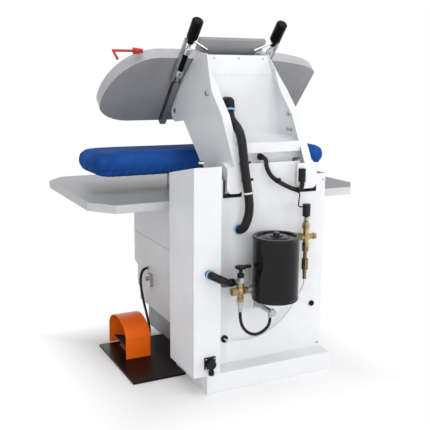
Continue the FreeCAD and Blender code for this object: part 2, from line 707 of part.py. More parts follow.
fittings.append(fuse("check_valve",
                     rod("check_nut", "z", "15", "584", "604", "valve_x", VALVE_Y),
                     rod("check_neck", "z", "9", "548", "584", "valve_x", VALVE_Y),
                     rod("check_body", "z", "14", "496", "548", "valve_x", VALVE_Y),
                     rod("check_tail", "z", "9", "452", "496", "valve_x", VALVE_Y)))
node(group("steel_fittings", *fittings), "steel_fittings")

# Lever on the cross: a hub on the stem and a flat handle.
hub = rod("lever_hub", "z", "15", "cross_z + 62", "cross_z + 78", "cross_x", "cross_y")
lever_neck = rod("lever_neck", "z", "8", "cross_z + 78", "cross_z + 100", "cross_x", "cross_y")
lever_bar = box("lever_bar", ("cross_x - 48", "cross_x + 22"), ("cross_y - 9", "cross_y + 9"),
        ("cross_z + 100", "cross_z + 113"))
node(fuse("valve_handle", hub, lever_neck, lever_bar), "valve_handle")

# Turn knob on the pedestal's front.
knob_stem = rod("knob_stem", "y", "6", "pedestal_front_y - 10", "pedestal_front_y", 262, 430)
knob = rod("knob", "y", "14", "pedestal_front_y - 26", "pedestal_front_y - 10", 262, 430)
node(fuse("front_knob", knob_stem, knob), "front_knob")

# Air fitting on the pedestal's side, with the two air tubes to the pedal.
fitting_disc = rod("fitting_disc", "x", "13", HALF, HALF + " + 6", "-562", "345")
fitting_block = box("fitting_block", (HALF, HALF + " + 16"), (-538, -500), (255, 325))
node(group("tube_fitting", fitting_disc, fitting_block), "tube_fitting")
side_x = d.column_width / 2 + 6
tubes = []
for i, shift in enumerate((-6, 6)):
    tubes.append(tube("air_tube_%d" % i, d.air_tube_radius,
                      (side_x, -562 + shift, 345), (side_x + 24, -562 + shift, 345),
                      (side_x + 44, -552 + shift, 300), (side_x + 49, -530 + shift, 246),
                      (side_x + 53, -485 + shift, 190), (side_x + 59, -425 + shift, 140),
                      (side_x + 69, -358 + shift, 92), (side_x + 89, -312 + shift, 54),
                      (side_x + 115, -322 + shift, 34), (d.pedal_axis_x - 14, -330 + shift, 26)))
node(group("pedal_tubes", *tubes), "pedal_tubes")

# Hoses and tubes on the back.
tank_y = d.column_back + d.tank_standoff + d.tank_radius
ferrule_z = d.cross_z - 94
drain_z = d.tank_bottom - 58 - 26
node(tube("drain_hose", d.drain_hose_radius,
          (d.cross_x, d.cross_y, ferrule_z), (d.cross_x, d.cross_y, ferrule_z - 40),
          (d.cross_x - 14, d.cross_y + 6, ferrule_z - 80), (d.cross_x - 42, d.cross_y + 14, ferrule_z - 106),
          (d.cross_x - 76, d.cross_y + 21, ferrule_z - 112),
          (d.cross_x - 108, d.cross_y + 26, ferrule_z - 98),
          (d.tank_x + 20, tank_y - 4, ferrule_z - 70), (d.tank_x + 20, tank_y - 4, drain_z)), "drain_hose")
panel = d.column_back
valve_y = panel + d.valve_standoff
node(tube("drain_tube", d.clear_tube_radius,
          (228, panel + 2, 206), (228, panel + 26, 206), (202, panel + 28, 199), (160, panel + 17, 191),
          (110, panel + 15, 187), (58, panel + 15, 194), (8, panel + 15, 211), (-38, panel + 15, 236),
          (-80, panel + 15, 268), (-112, panel + 17, 306), (-136, panel + 22, 348), (-150, panel + 34, 390),
          (d.valve_x, valve_y, 424), (d.valve_x, valve_y, 452)), "drain_tube")
node(tube("feed_hose", d.feed_hose_radius,
          (350, d.plinth_back, 546), (350, d.plinth_back + 34, 546), (316, d.plinth_back + 46, 529),
          (284, d.plinth_back + 32, 511), (264, d.plinth_back - 6, 493),
          (d.cross_x + 64, d.cross_y - 48, d.cross_z + 26),
          (d.cross_x + 30, d.cross_y - 48, d.cross_z + 26)), "feed_hose")
node(tube("coil_cable", d.cable_radius,
          (-140, panel, 850), (-140, panel + 18, 850), (-130, panel + 36, 838), (-118, panel + 47, 816),
          (-114, valve_y, 790), (d.valve_x + 18, valve_y, 790)), "coil_cable")


# Arm: two side plates with a hub each. Above the bend they lean inwards, and their front edges lie along
# the open head's back.
total_open = math.radians(90 + d.open_lean)


def front_edge(z, gap):
    """The y of a line parallel to the open head's back, at a height and a gap from it."""
    lean = math.radians(d.open_lean)
    foot_y = d.hinge_y - (d.lug_height - gap) * math.cos(lean)
    foot_z = d.hinge_z + (d.lug_height - gap) * math.sin(lean)
    return foot_y + (z - foot_z) * math.tan(lean)


nose_z = d.hinge_z + (d.lug_height - d.open_gap) * math.sin(math.radians(d.open_lean))
top_front = d.arm_top_z + 12
bend_rear = d.axle_y - 153
rear_edge = [(d.axle_y + 70, d.axle_z + 57), (d.crossbar_rear, d.crossbar_bottom + 16),
        (d.axle_y - 53, d.axle_z + 271),
             (d.axle_y - 137, d.axle_z + 354), (bend_rear, d.arm_bend_z)]
lower = [(d.axle_y + 70, d.axle_z)] + rear_edge + [
    (front_edge(d.arm_bend_z, d.open_gap), d.arm_bend_z), (front_edge(nose_z, d.open_gap), nose_z),
    (d.hinge_y, d.hinge_z), (d.hinge_y, d.hinge_z - d.arm_nose), (d.hinge_y + 103,
            d.hinge_z - 44), (d.axle_y - 266, d.axle_z + 40), (d.axle_y - 195, d.axle_z + 2),
    (d.tie_y - 20, d.tie_z - 25), (d.axle_y - 65, d.axle_z - 48)]
upper = [(bend_rear, d.arm_bend_z), (d.axle_y - 192, d.arm_top_z - 118), (d.axle_y - 264, d.arm_top_z - 20),
         (d.axle_y - 276, d.arm_top_z), (front_edge(top_front, d.open_gap), top_front),
         (front_edge(d.arm_bend_z, d.open_gap), d.arm_bend_z)]
taper = (d.arm_half - d.arm_top_half) / (d.arm_top_z - d.arm_bend_z)


def skin_x(z):
    """The side plate's outer face: upright below the bend and leaning in above it."""
    return d.arm_half - max(z - d.arm_bend_z, 0) * taper


# A rounded plate behind each hub closes the slot in the panel. The right one is wider, for the boot.
FOOT_SPANS = {1: (155, 232), -1: (-227, -122)}


def arm_side(sign):
    inward = Vector(-sign * d.arm_gauge, 0, 0)
    solid = outline([(sign * d.arm_half, y, z) for y, z in lower]).extrude(inward)
    solid = solid.fuse(outline([(sign * skin_x(z), y, z) for y, z in upper]).extrude(inward))
    nose = Vector(sign * (d.arm_half - d.arm_gauge), d.hinge_y, d.hinge_z)
    solid = solid.fuse(Part.makeCylinder(d.arm_nose, d.arm_gauge, nose, Vector(sign, 0, 0)))
    back = lower[:1] + rear_edge
    lip = back + [(y - d.arm_gauge, z) for y, z in reversed(back)]
    solid = solid.fuse(outline([(sign * d.arm_half, y, z) for y,
            z in lip]).extrude(Vector(-sign * d.flange_width, 0, 0)))
    heel_near, heel_far = FOOT_SPANS[sign]
    heel = Part.makeBox(heel_far - heel_near, d.arm_gauge, d.foot_drop + 57, Vector(
            heel_near, d.axle_y + 70 - d.arm_gauge, d.axle_z - d.foot_drop))
    corners = [e for e in heel.Edges if abs(e.tangentAt(e.FirstParameter).y) > 0.9]
    corners = [e for e in corners if e.CenterOfMass.z < d.axle_z - d.foot_drop + 1]
    solid = solid.fuse(heel.makeFillet(26, corners))
    start = Vector(sign * d.hub_near, d.axle_y, d.axle_z)
    along = Vector(sign, 0, 0)
    width = d.hub_far - d.hub_near
    solid = solid.fuse(Part.makeCylinder(d.hub_radius, width, start, along))
    bush_out = d.axle_radius + d.running_gap + d.bush_wall
    solid = solid.cut(Part.makeCylinder(bush_out, width + 2, start - along, along))
    pin = Part.makeCylinder(d.hinge_radius, 4 * d.arm_gauge,
            Vector(sign * (d.arm_half - 2 * d.arm_gauge), d.hinge_y, d.hinge_z), along)
    return solid.cut(pin).removeSplitter()


node(shape("arm_plate_left", arm_side(1)), "arm_plate_left")
node(shape("arm_plate_right", arm_side(-1)), "arm_plate_right")
bushes = []
for side, near, far in (("left", "hub_near", "hub_far"), ("right", "-hub_far", "-hub_near")):
    sleeve = rod("bush_%s_blank" % side, "x", "axle_radius + running_gap + bush_wall", near, far,
            "axle_y", "axle_z")
    bore = rod("bush_%s_bore" % side, "x", "axle_radius + running_gap", near + " - 1", far + " + 1",
            "axle_y", "axle_z")
    bushes.append(cut("bush_" + side, sleeve, bore))
node(group("arm_bushes", *bushes), "arm_bushes")

# Cross shafts of the arm: the head's hinge shaft and the tie tube that the press rod pulls.
node(group("arm_cross_shafts",
           rod("hinge_shaft", "x", "hinge_radius", "-arm_half - 3", "arm_half + 3", "hinge_y",
                   "hinge_z"),
           rod("tie_tube", "x", "tie_radius", "arm_gauge - arm_half", "arm_half - arm_gauge",
                   "tie_y", "tie_z")),
     "arm_cross_shafts")
bar_outer = box("crossbar_outer", ("flange_width - arm_half", "arm_half - flange_width"),
                ("crossbar_rear - crossbar_depth",
                        "crossbar_rear - arm_gauge - 1"), ("crossbar_bottom", "crossbar_top"))
bar_inner = box("crossbar_inner", ("flange_width - arm_half + 3", "arm_half - flange_width - 3"),
                ("crossbar_rear - crossbar_depth + 3",
                        "crossbar_rear - arm_gauge - 4"), ("crossbar_bottom + 3", "crossbar_top - 3"))
bar_web = box("crossbar_web", ("arm_gauge - arm_half", "arm_half - arm_gauge"),
              ("crossbar_rear - crossbar_depth", "crossbar_rear - crossbar_depth + 3"),
              ("panel_top + 7", "crossbar_bottom + 3"))
bar_apron = box("crossbar_apron", ("4 - slot_near", "slot_near - 4"),
                ("crossbar_rear - crossbar_depth", "crossbar_rear - crossbar_depth + 3"),
                ("panel_top - 9", "panel_top + 8"))
bar_tube = cut("crossbar_tube", bar_outer, bar_inner)
node(fuse("arm_crossbar", bar_tube, bar_web, bar_apron), "arm_crossbar")

# Rear panel of the arm: an upright sheet from the top edge down to a sloping floor above the crossbar,
# and a short top sheet.
PANEL_GAUGE = 3
foot_y = d.axle_y - 215
foot_z = d.crossbar_top + 20
top_y = d.axle_y - 275
top_z = d.arm_top_z - 4


def panel_y(z):
    return foot_y + (z - foot_z) * (top_y - foot_y) / (top_z - foot_z)


def inner(z):
    return skin_x(z) - d.arm_gauge


levels = (foot_z, d.arm_bend_z, top_z)
wall = [(inner(z), panel_y(z), z) for z in levels] + [(-inner(z), panel_y(z),
        z) for z in reversed(levels)]
rear_panel = outline(wall).extrude(Vector(0, -PANEL_GAUGE, 0))
floor_rear = d.crossbar_rear - d.crossbar_depth
floor_half = inner(foot_z)
floor_sheet = outline([(floor_half, foot_y, foot_z), (floor_half, floor_rear, d.crossbar_top),
                       (-floor_half, floor_rear, d.crossbar_top), (-floor_half, foot_y, foot_z)])
rear_panel = rear_panel.fuse(floor_sheet.extrude(Vector(0, 0, -PANEL_GAUGE)))
top_half = inner(top_z)
top_sheet_front = top_y - 70
top_cap = outline([(top_half, top_y, top_z), (top_half, top_sheet_front, top_z),
                   (-top_half, top_sheet_front, top_z), (-top_half, top_y, top_z)])
rear_panel = rear_panel.fuse(top_cap.extrude(Vector(0, 0, -PANEL_GAUGE)))
node(shape("arm_rear_panel", rear_panel.removeSplitter()), "arm_rear_panel")

# Rubbers on the arm: the hose socket on the rear panel, the boot on the right foot and two head stops.
socket_z = 1246
socket_x = 84
socket_y = panel_y(socket_z)
socket = Part.makeCylinder(d.steam_hose_radius + 5, 34, Vector(socket_x, socket_y, socket_z),
        Vector(0, 1, 0))
panel_solid = rear_panel
socket = socket.fuse(Part.makeSphere(d.steam_hose_radius + 5, Vector(socket_x, socket_y + 34, socket_z)))
hose_way = Vector(0.1, 0.35, -1).normalize()
hose_start = Vector(socket_x, socket_y + 34, socket_z) + hose_way * 34
socket = socket.fuse(Part.makeCylinder(d.steam_hose_radius + 5, 34, hose_start - hose_way * 34,
        hose_way))
socket = socket.cut(panel_solid)
boot_x = -141
boot_y = d.axle_y + d.hub_radius + 14
boot = Part.makeCylinder(14, 60, Vector(boot_x, boot_y, d.axle_z - 26))
boot = boot.fuse(Part.makeBox(28, 14, 60, Vector(boot_x - 14, boot_y - 14, d.axle_z - 26)))
node(group("arm_rubbers", shape("hose_socket", max(socket.Solids, key=lambda s: s.Volume)),
           shape("sleeve_boot", boot)), "arm_rubbers")

# Control sleeve from the web under the crossbar to the boot on the arm's right foot.
web_y = d.crossbar_rear - d.crossbar_depth + 3
node(tube("control_sleeve", d.sleeve_radius,
          (27, web_y, 1013), (27, web_y + 38, 1013), (38, panel + 16, 1006), (46, panel + 33, 978),
          (25, panel + 38, 938), (-7, panel + 38, 915), (-56, panel + 38, 889), (-104, panel + 38, 868),
          (boot_x, boot_y, 866), (boot_x, boot_y, d.axle_z - 26)), "control_sleeve")
node(tube("steam_hose", d.steam_hose_radius,
          tuple(hose_start), tuple(hose_start + hose_way * 34), (112, 48, 1166), (130, 127, 1145),
          (150, 196, 1119), (160, 232, 1080), (163, 248, 1034), (160, 260, 968), (148, 265, 888),
          (137, 264, 820), (142, 264, 764),
          (166, panel + 44, 706), (166, panel, 706)), "steam_hose")

# Fasteners on the arm: screws along the top, the cross pin's heads and the bracket's bolts.
heads = []
for i, x in enumerate((-130, 0, 130)):
    z = top_z - 16
    heads.append(shape("top_screw_%d" % i, Part.makeCylinder(4.5, 3, Vector(x, panel_y(z) + 0.2, z),
            Vector(0, 1, 0)).cut(panel_solid)))
for i, sign in enumerate((1, -1)):
    z = d.axle_z + 360
    heads.append(shape("pin_head_%d" % i, Part.makeCylinder(12, 10, Vector(sign * d.arm_half,
            bend_rear - 40, z), Vector(sign, 0, 0))))
for i, (y, z) in enumerate(((30, 1190), (60, 1190), (60, 1120), (30, 1120))):
    x = d.arm_gauge - d.arm_half
    heads.append(shape("bracket_bolt_%d" % i, Part.makeCylinder(8, 7, Vector(x, y, z), Vector(1, 0, 0))))
node(group("arm_fasteners", *heads), "arm_fasteners")

# Head: drawn level about its hinge, with the cover's back a lug's height below it, then swung open.
HEAD = Placement(Vector(0, d.hinge_y, d.hinge_z), Rotation(Vector(1, 0, 0), -90 - d.open_lean))
back_z = -d.lug_height


def swung(obj, name):
    obj.Placement = HEAD
    return node(obj, name)


def quarter(start, corner, end):
    """A rounded quarter from start to end that leaves both along the lines to the corner."""
    curve = Part.BezierCurve()
    curve.setPoles([start, start + (corner - start) * 0.55, end + (corner - end) * 0.55, end])
    return curve.toShape()


def head_face(inset, z):
    """The head's outline: a long rounded nose at +X and a blunt end at -X, inset by a wall."""

    def at(x, depth):
        return Vector(x, d.lug_setback - depth, z)

    front = d.head_depth - inset
    rear = inset
    nose = d.head_nose - inset
    end = inset - d.head_end
    run_front = nose - d.nose_front_run
    run_rear = nose - d.nose_rear_run
    shoulder = end + d.end_front_run
    foot = end + d.end_corner
    edges = [
        quarter(at(run_front, front), at(nose, front), at(nose, d.nose_wide_at)),
        quarter(at(nose, d.nose_wide_at), at(nose, rear), at(run_rear, rear)),
        Part.LineSegment(at(run_rear, rear), at(foot, rear)).toShape(),
        quarter(at(foot, rear), at(end, rear), at(end, rear + d.end_corner)),
        Part.LineSegment(at(end, rear + d.end_corner), at(end, d.end_wide_at)).toShape(),
        quarter(at(end, d.end_wide_at), at(end, front), at(shoulder, front)),
        Part.LineSegment(at(shoulder, front), at(run_front, front)).toShape(),
    ]
    return Part.Face(Part.Wire(edges))


cover_low = back_z - d.head_thick + d.platen_proud
cover = head_face(0, cover_low).extrude(Vector(0, 0, back_z - cover_low))
hollow = head_face(d.cover_wall, cover_low - 1).extrude(Vector(0, 0,
        back_z - d.cover_wall - cover_low + 1))
swung(shape("head_cover", cover.cut(hollow)), "head_cover")
platen = head_face(d.cover_wall, back_z - d.head_thick).extrude(Vector(0, 0, d.platen_thick))
swung(shape("head_platen", platen), "head_platen")

# Hinge lugs on the cover's back, running on the arm's hinge shaft.
lugs = []
LUG_NEAR = "slot_near - 20"
LUG_FAR = "slot_near + 14"
for side, near, far in (("left", LUG_NEAR, LUG_FAR), ("right", "-(%s)" % LUG_FAR, "-(%s)" % LUG_NEAR)):
    web = box("lug_%s_web" % side, (near, far), ("-40", "40"), ("-lug_height", "0"))
    eye = rod("lug_%s_eye" % side, "x", "hinge_radius + 16", near, far, 0, 0)
    bore = rod("lug_%s_bore" % side, "x", "hinge_radius + running_gap", near + " - 1", far + " + 1",
            0, 0)
    lugs.append(cut("lug_" + side, fuse("lug_%s_body" % side, web, eye), bore))
swung(group("head_lugs", *lugs), "head_lugs")

# Handles: a rail on the cover's back, a chromed rod in two clamps and a round grip past the front edge.
ROD_Z = "rod_line - lug_height"
rails = []
rods = []
clamps = []
grips = []
for side, sign in (("left", ""), ("right", "-")):
    x = "(%shandle_x)" % sign
    rails.append(box("rail_" + side, (x + " - rail_width/2", x + " + rail_width/2"),
                     ("lug_setback - rail_length", "lug_setback"), ("-lug_height",
                             "rail_height - lug_height")))
    bar = rod("handle_bar_" + side, "y", "handle_rod_radius", "lug_setback - grip_start - 20",
            "lug_setback - rail_length", x, ROD_Z)
    rods.append(bar)
    for place in ("inner_clamp", "outer_clamp"):
        low = "lug_setback - %s - clamp_size/2" % place
        high = "lug_setback - %s + clamp_size/2" % place
        block = rod("%s_%s_block" % (place, side), "y", "clamp_size/2", low, high, x, ROD_Z)
        bore = rod("%s_%s_bore" % (place, side), "y", "handle_rod_radius", low + " - 1",
                high + " + 1", x, ROD_Z)
        under = box("%s_%s_under" % (place, side), (x + " - clamp_size", x + " + clamp_size"),
                (low + " - 1", high + " + 1"),
                    ("-lug_height - clamp_size", "-lug_height"))
        clamps.append(cut("%s_%s" % (place, side), block, bore, under))
    grip = rod("grip_blank_" + side, "y", "grip_radius", "lug_setback - grip_start - grip_length",
            "lug_setback - grip_start", x, ROD_Z)
    grip_bore = rod("grip_bore_" + side, "y", "handle_rod_radius", "lug_setback - grip_start - 20",
            "lug_setback - grip_start + 1", x, ROD_Z)
    grip_round = doc.addObject("Part::Fillet", "grip_round_" + side)
    grip_round.Base = grip
    doc.recompute()
    rims = [i + 1 for i, e in enumerate(grip.Shape.Edges) if isinstance(e.Curve, Part.Circle)]
    grip_round.Edges = [(i, 10, 10) for i in rims]
    grips.append(cut("grip_" + side, grip_round, grip_bore))
    band_low = "lug_setback - outer_clamp + clamp_size/2"
    band_high = "lug_setback - inner_clamp - clamp_size/2"
    band_blank = rod("band_blank_" + side, "y", "handle_rod_radius + 4", band_low, band_high, x, ROD_Z)
    band_bore = rod("band_bore_" + side, "y", "handle_rod_radius", band_low + " - 1",
            band_high + " + 1", x, ROD_Z)
    grips.append(cut("rod_band_" + side, band_blank, band_bore))
swung(group("handle_rails", *rails), "handle_rails")
swung(group("handle_clamps", *clamps), "handle_clamps")
swung(group("handle_grips", *grips), "handle_grips")

# Bonnet between the handles: a shallow closed box on the cover's back that overhangs its front edge.
BONNET_Z = ("-lug_height", "bonnet_height - lug_height")
HOLLOW_Z = ("skin - lug_height", "bonnet_height - lug_height - skin")
bonnet_outer = fuse("bonnet_outer",
                    box("bonnet_wide", ("-bonnet_half", "bonnet_half"),
                        ("lug_setback - bonnet_front", "lug_setback - bonnet_shoulder"), BONNET_Z),
                    box("bonnet_narrow", ("-bonnet_waist", "bonnet_waist"),
                        ("lug_setback - bonnet_shoulder", "lug_setback - bonnet_rear"), BONNET_Z))
bonnet_inner = fuse("bonnet_inner",
                    box("hollow_wide", ("skin - bonnet_half", "bonnet_half - skin"),
                        ("lug_setback - bonnet_front + skin", "lug_setback - bonnet_shoulder - skin"),
                        HOLLOW_Z),
                    box("hollow_narrow", ("skin - bonnet_waist", "bonnet_waist - skin"),
                        ("lug_setback - bonnet_shoulder - skin", "lug_setback - bonnet_rear - skin"),
                        HOLLOW_Z))
swung(cut("head_bonnet", bonnet_outer, bonnet_inner), "head_bonnet")

# Braces: chromed stays from the handle rods to the bonnet.
BRACE_RADIUS = 7
for side, sign in (("left", 1), ("right", -1)):
    y = d.lug_setback - d.bonnet_front
    z = d.rod_line - d.lug_height
    face_z = d.bonnet_height - d.lug_height
    start = Vector(sign * (d.bonnet_half - 48), y + 54, face_z + 4)
    end = Vector(sign * (d.handle_x - d.handle_rod_radius + 2), y + 4, z + 2)
    stay = Part.makeCylinder(BRACE_RADIUS, (end - start).Length, start, end - start)
    bar_solid = Part.makeCylinder(d.handle_rod_radius, 400, Vector(sign * d.handle_x, y - 200, z),
            Vector(0, 1, 0))
    flush = Part.makeBox(2 * d.bonnet_half, 400, 100, Vector(-d.bonnet_half, y, face_z - 100))
    rods.append(shape("brace_" + side, stay.cut(bar_solid).cut(flush)))
swung(group("handle_rods", *rods), "handle_rods")

# Red hand lever in a tapered collar on the cover's front rim.
lever_depth = d.lug_setback - d.head_depth - 8
lever_z = back_z - d.head_thick / 2
collar_x = d.head_nose - d.nose_front_run + 91
lever_radius = 6
collar = Part.makeCone(10, 16, 46, Vector(collar_x, lever_depth, lever_z), Vector(1, 0, 0))
collar = collar.fuse(Part.makeBox(16, 60, 14, Vector(collar_x + 3, lever_depth, lever_z - 7)))
collar = collar.cut(Part.makeCylinder(lever_radius + d.running_gap, 60, Vector(collar_x + 8,
        lever_depth, lever_z), Vector(1, 0, 0)))
swung(shape("lever_collar", collar.cut(cover)), "lever_collar")
lever = Part.makeCylinder(lever_radius, 135, Vector(collar_x + 9, lever_depth, lever_z), Vector(1, 0, 0))
bend = Vector(collar_x + 144, lever_depth, lever_z)
lever = lever.fuse(Part.makeSphere(lever_radius, bend))
lever = lever.fuse(Part.makeCylinder(lever_radius, 58, bend, Vector(-0.12, 0, 1)))
swung(shape("hand_lever", lever.removeSplitter()), "hand_lever")

doc.recompute()
for obj in doc.Objects:
    if "Invalid" in obj.State or "Error" in obj.State:
        raise RuntimeError("failed: " + obj.Name)
bad = [obj.Label for obj in nodes if obj.Shape.isNull() or not obj.Shape.isValid()]
if bad:
    raise RuntimeError("bad shapes: " + ", ".join(bad))
os.makedirs("parts", exist_ok=True)
for obj in nodes:
    obj.Shape.exportStep("parts/%s.step" % obj.Label)
print(len(nodes), "nodes written")
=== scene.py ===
import json
import math

import bmesh
import bpy
from mathutils import Matrix, Vector


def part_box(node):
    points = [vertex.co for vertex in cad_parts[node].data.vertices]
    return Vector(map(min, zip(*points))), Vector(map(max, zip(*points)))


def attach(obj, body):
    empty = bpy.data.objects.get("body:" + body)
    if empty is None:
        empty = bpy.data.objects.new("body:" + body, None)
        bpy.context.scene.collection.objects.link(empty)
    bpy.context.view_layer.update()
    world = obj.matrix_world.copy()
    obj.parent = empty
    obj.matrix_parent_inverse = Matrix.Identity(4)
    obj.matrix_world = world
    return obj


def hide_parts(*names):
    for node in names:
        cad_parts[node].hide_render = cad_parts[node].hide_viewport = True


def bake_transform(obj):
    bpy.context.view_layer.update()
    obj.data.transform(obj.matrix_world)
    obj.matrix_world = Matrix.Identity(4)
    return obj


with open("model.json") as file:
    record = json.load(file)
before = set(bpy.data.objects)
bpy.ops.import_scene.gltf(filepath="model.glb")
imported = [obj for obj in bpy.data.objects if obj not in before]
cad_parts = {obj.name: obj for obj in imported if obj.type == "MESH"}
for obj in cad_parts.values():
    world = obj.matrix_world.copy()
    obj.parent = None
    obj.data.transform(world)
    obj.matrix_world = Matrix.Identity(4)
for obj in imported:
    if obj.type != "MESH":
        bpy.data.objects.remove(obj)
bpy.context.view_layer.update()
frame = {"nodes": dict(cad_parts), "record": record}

# Plinth: the low tray that the column and the cabinet stand on, of folded sheet steel.
# It is powder coated white. The coat is baked on, so the edges are slightly round and the skin
# has a faint orange peel.


def linear(hexa):
    """An sRGB hex colour as linear RGBA."""
    parts = [int(hexa[i:i + 2], 16) / 255 for i in (1, 3, 5)]
    return [c / 12.92 if c <= 0.04045 else ((c + 0.055) / 1.055) ** 2.4 for c in parts] + [1.0]


def fill(tree, node, inputs):
    """Gives a shader node's inputs their values or links."""
    for key, value in inputs.items():
        if isinstance(value, bpy.types.NodeSocket):
            tree.links.new(value, node.inputs[key])
        else:
            node.inputs[key].default_value = value


def add(tree, kind, inputs=None, **settings):
    """Adds one shader node with its settings, and its inputs as values or links."""
    made = tree.nodes.new(kind)
    for key, value in settings.items():
        setattr(made, key, value)
    fill(tree, made, inputs or {})
    return made


def blank(name):
    """A new material with its tree, its shader and its place on the object in metres."""
    material = bpy.data.materials.new(name)
    material.use_nodes = True
    tree = material.node_tree
    place = add(tree, "ShaderNodeTexCoord").outputs["Object"]
    return material, tree, tree.nodes["Principled BSDF"], place


def powder_coat(name, hexa, worn, rough=0.42, peel_mm=2.5, peel=0.05, shine=0.5):
    """Baked powder coat: even colour with soft clouds of handling dirt, and an orange-peel skin."""
    dirt_mm = 200
    material, tree, shader, place = blank(name)
    cloud = add(tree, "ShaderNodeTexNoise",
                {"Vector": place, "Scale": 1000 / dirt_mm, "Detail": 5.0, "Roughness": 0.6})
    tint = add(tree, "ShaderNodeValToRGB", {"Fac": cloud.outputs["Fac"]})
    for stop, share, colour in zip(tint.color_ramp.elements, (0.3, 0.62), (worn, hexa)):
        stop.position = share
        stop.color = linear(colour)
    skin = add(tree, "ShaderNodeTexNoise",
               {"Vector": place, "Scale": 1000 / peel_mm, "Detail": 1.0})
    bump = add(tree, "ShaderNodeBump",
               {"Height": skin.outputs["Fac"], "Strength": peel, "Distance": 0.0006})
    gloss = add(tree, "ShaderNodeMapRange",
                {"Value": cloud.outputs["Fac"], "To Min": rough + 0.08, "To Max": rough - 0.05})
    fill(tree, shader, {"Base Color": tint.outputs["Color"], "Specular IOR Level": shine,
                        "Roughness": gloss.outputs["Result"], "Normal": bump.outputs["Normal"]})
    return material


def placed(form, name, material=None, smooth=False):
    """The finished mesh as a new piece of the scene, in one finish."""
    mesh = bpy.data.meshes.new(name)
    form.to_mesh(mesh)
    form.free()
    for face in mesh.polygons:
        face.use_smooth = smooth
        face.material_index = 0
    if material:
        mesh.materials.append(material)
    piece = bpy.data.objects.new(name, mesh)
    bpy.context.collection.objects.link(piece)
    return piece


SAME_SPOT = 0.00002


def dressed(node, material, edge_mm, steps=2):
    """The CAD piece with its facets joined and its edges rounded, in place of the bare solid.

    A thin folded sheet has an edge of 0, because a rounded edge would eat up its thickness.
    """
    flat = math.radians(0.5)
    crease = math.radians(32)
    form = bmesh.new()
    form.from_mesh(frame["nodes"][node].data)
    bmesh.ops.remove_doubles(form, verts=form.verts, dist=SAME_SPOT)
    bmesh.ops.dissolve_limit(form, angle_limit=flat, verts=form.verts, edges=form.edges)
    piece = placed(form, node + "_piece", material, smooth=True)
    if edge_mm:
        edge = piece.modifiers.new("edge", "BEVEL")
        edge.width = edge_mm / 1000
        edge.segments = steps
        edge.limit_method = "ANGLE"
        edge.angle_limit = crease
        edge.use_clamp_overlap = True
        even = piece.modifiers.new("even_shading", "WEIGHTED_NORMAL")
        even.weight = 90
    else:
        piece.data.set_sharp_from_angle(angle=crease)
    body = next(b for b, names in frame["record"]["behaviour"]["bodies"].items() if node in names)
    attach(piece, body)
    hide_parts(node)
    return piece


# White powder coat: an even, cool white with broad soft highlights and hardly any marks.
white_coat = powder_coat("white_powder_coat", "#e6e7ea", "#dfe0e3")
dressed("plinth", white_coat, 2.0)

# Toe kick and floor plate: a recessed box under the pedestal and the plate the foot control
# stands on. Both are sheet steel, and the plate lies loose on the floor. The toe kick's grey is
# painted shade for its place under the pedestal, the plate is coated black, and feet scuff both.

# Scuffed grey coat: a grey that is painted shade for the recess, blotched in two greys by scuffs,
# and duller than the white.
scuffed_and_shaded_coat = powder_coat("scuffed_grey_coat", "#a3a4a6", "#7d7e80", 0.5)
dressed("toe_kick", scuffed_and_shaded_coat, 1.5)
# Black plate coat: a warm black that shoes have rubbed to a dull shine.
plate_coat = powder_coat("black_plate_coat", "#0d0906", "#140e0a", 0.34, 3.0, 0.08, 0.12)
dressed("floor_plate", plate_coat, 1.0)

# Column frame: the bearing uprights, crossbeam, axle and press cylinder, hidden inside the column.
# The frame is welded plate with a grey coat, and the axle and the rod are ground steel that runs
# in bushes.

# Grey frame coat: a flat, even mid grey, as on machine parts that nobody sees.
frame_coat = powder_coat("grey_frame_coat", "#8d9096", "#7f8288")
for name in ("bearing_uprights", "frame_crossbeam"):
    dressed(name, frame_coat, 1.0)


def turned_metal(name, hexa, rough, across_mm=0.9, depth=0.05):
    """Turned, ground or plated metal: bright, with fine tool marks and dull stains.

    The marks are drawn about a millimetre across, coarser than real ones, so that they show.
    """
    stain_mm = 16.67
    stained = 0.72
    material, tree, shader, place = blank(name)
    lines = add(tree, "ShaderNodeTexNoise",
                {"Vector": place, "Scale": 1000 / across_mm, "Detail": 2.0})
    stain = add(tree, "ShaderNodeTexNoise",
                {"Vector": place, "Scale": 1000 / stain_mm, "Detail": 4.0})
    tint = add(tree, "ShaderNodeValToRGB", {"Fac": stain.outputs["Fac"]})
    bright = linear(hexa)
    dull = [c * stained for c in bright[:3]] + [1.0]
    for stop, share, colour in zip(tint.color_ramp.elements, (0.3, 0.65), (dull, bright)):
        stop.position = share
        stop.color = colour
    gloss = add(tree, "ShaderNodeMapRange",
                {"Value": stain.outputs["Fac"], "To Min": rough + 0.12, "To Max": rough - 0.05})
    bump = add(tree, "ShaderNodeBump",
               {"Height": lines.outputs["Fac"], "Strength": depth, "Distance": 0.0003})
    fill(tree, shader, {"Base Color": tint.outputs["Color"], "Metallic": 1.0,
                        "Roughness": gloss.outputs["Result"], "Normal": bump.outputs["Normal"]})
    return material


# Ground steel: a mid silver whose fine marks spread each reflection a little.
ground_steel = turned_metal("ground_steel", "#b4b6b9", 0.28)
dressed("arm_axle", ground_steel, 1.0)
dressed("press_rod", ground_steel, 0.8)
# Drawn aluminium: paler than the steel, with a satin haze.
dressed("press_cylinder", turned_metal("drawn_aluminium", "#bfc1c4", 0.36), 1.0)

# Column panels: the white folded sheets round the frame and the pedestal, held by plated screws.
# The pedestal's side is made of two sheets that meet in a dark seam, and the slots in the back
# are edged with black rubber.
dressed("back_panel", white_coat, 0.8)
dressed("column_top_cover", white_coat, 0)
dressed("pedestal_front", white_coat, 0)
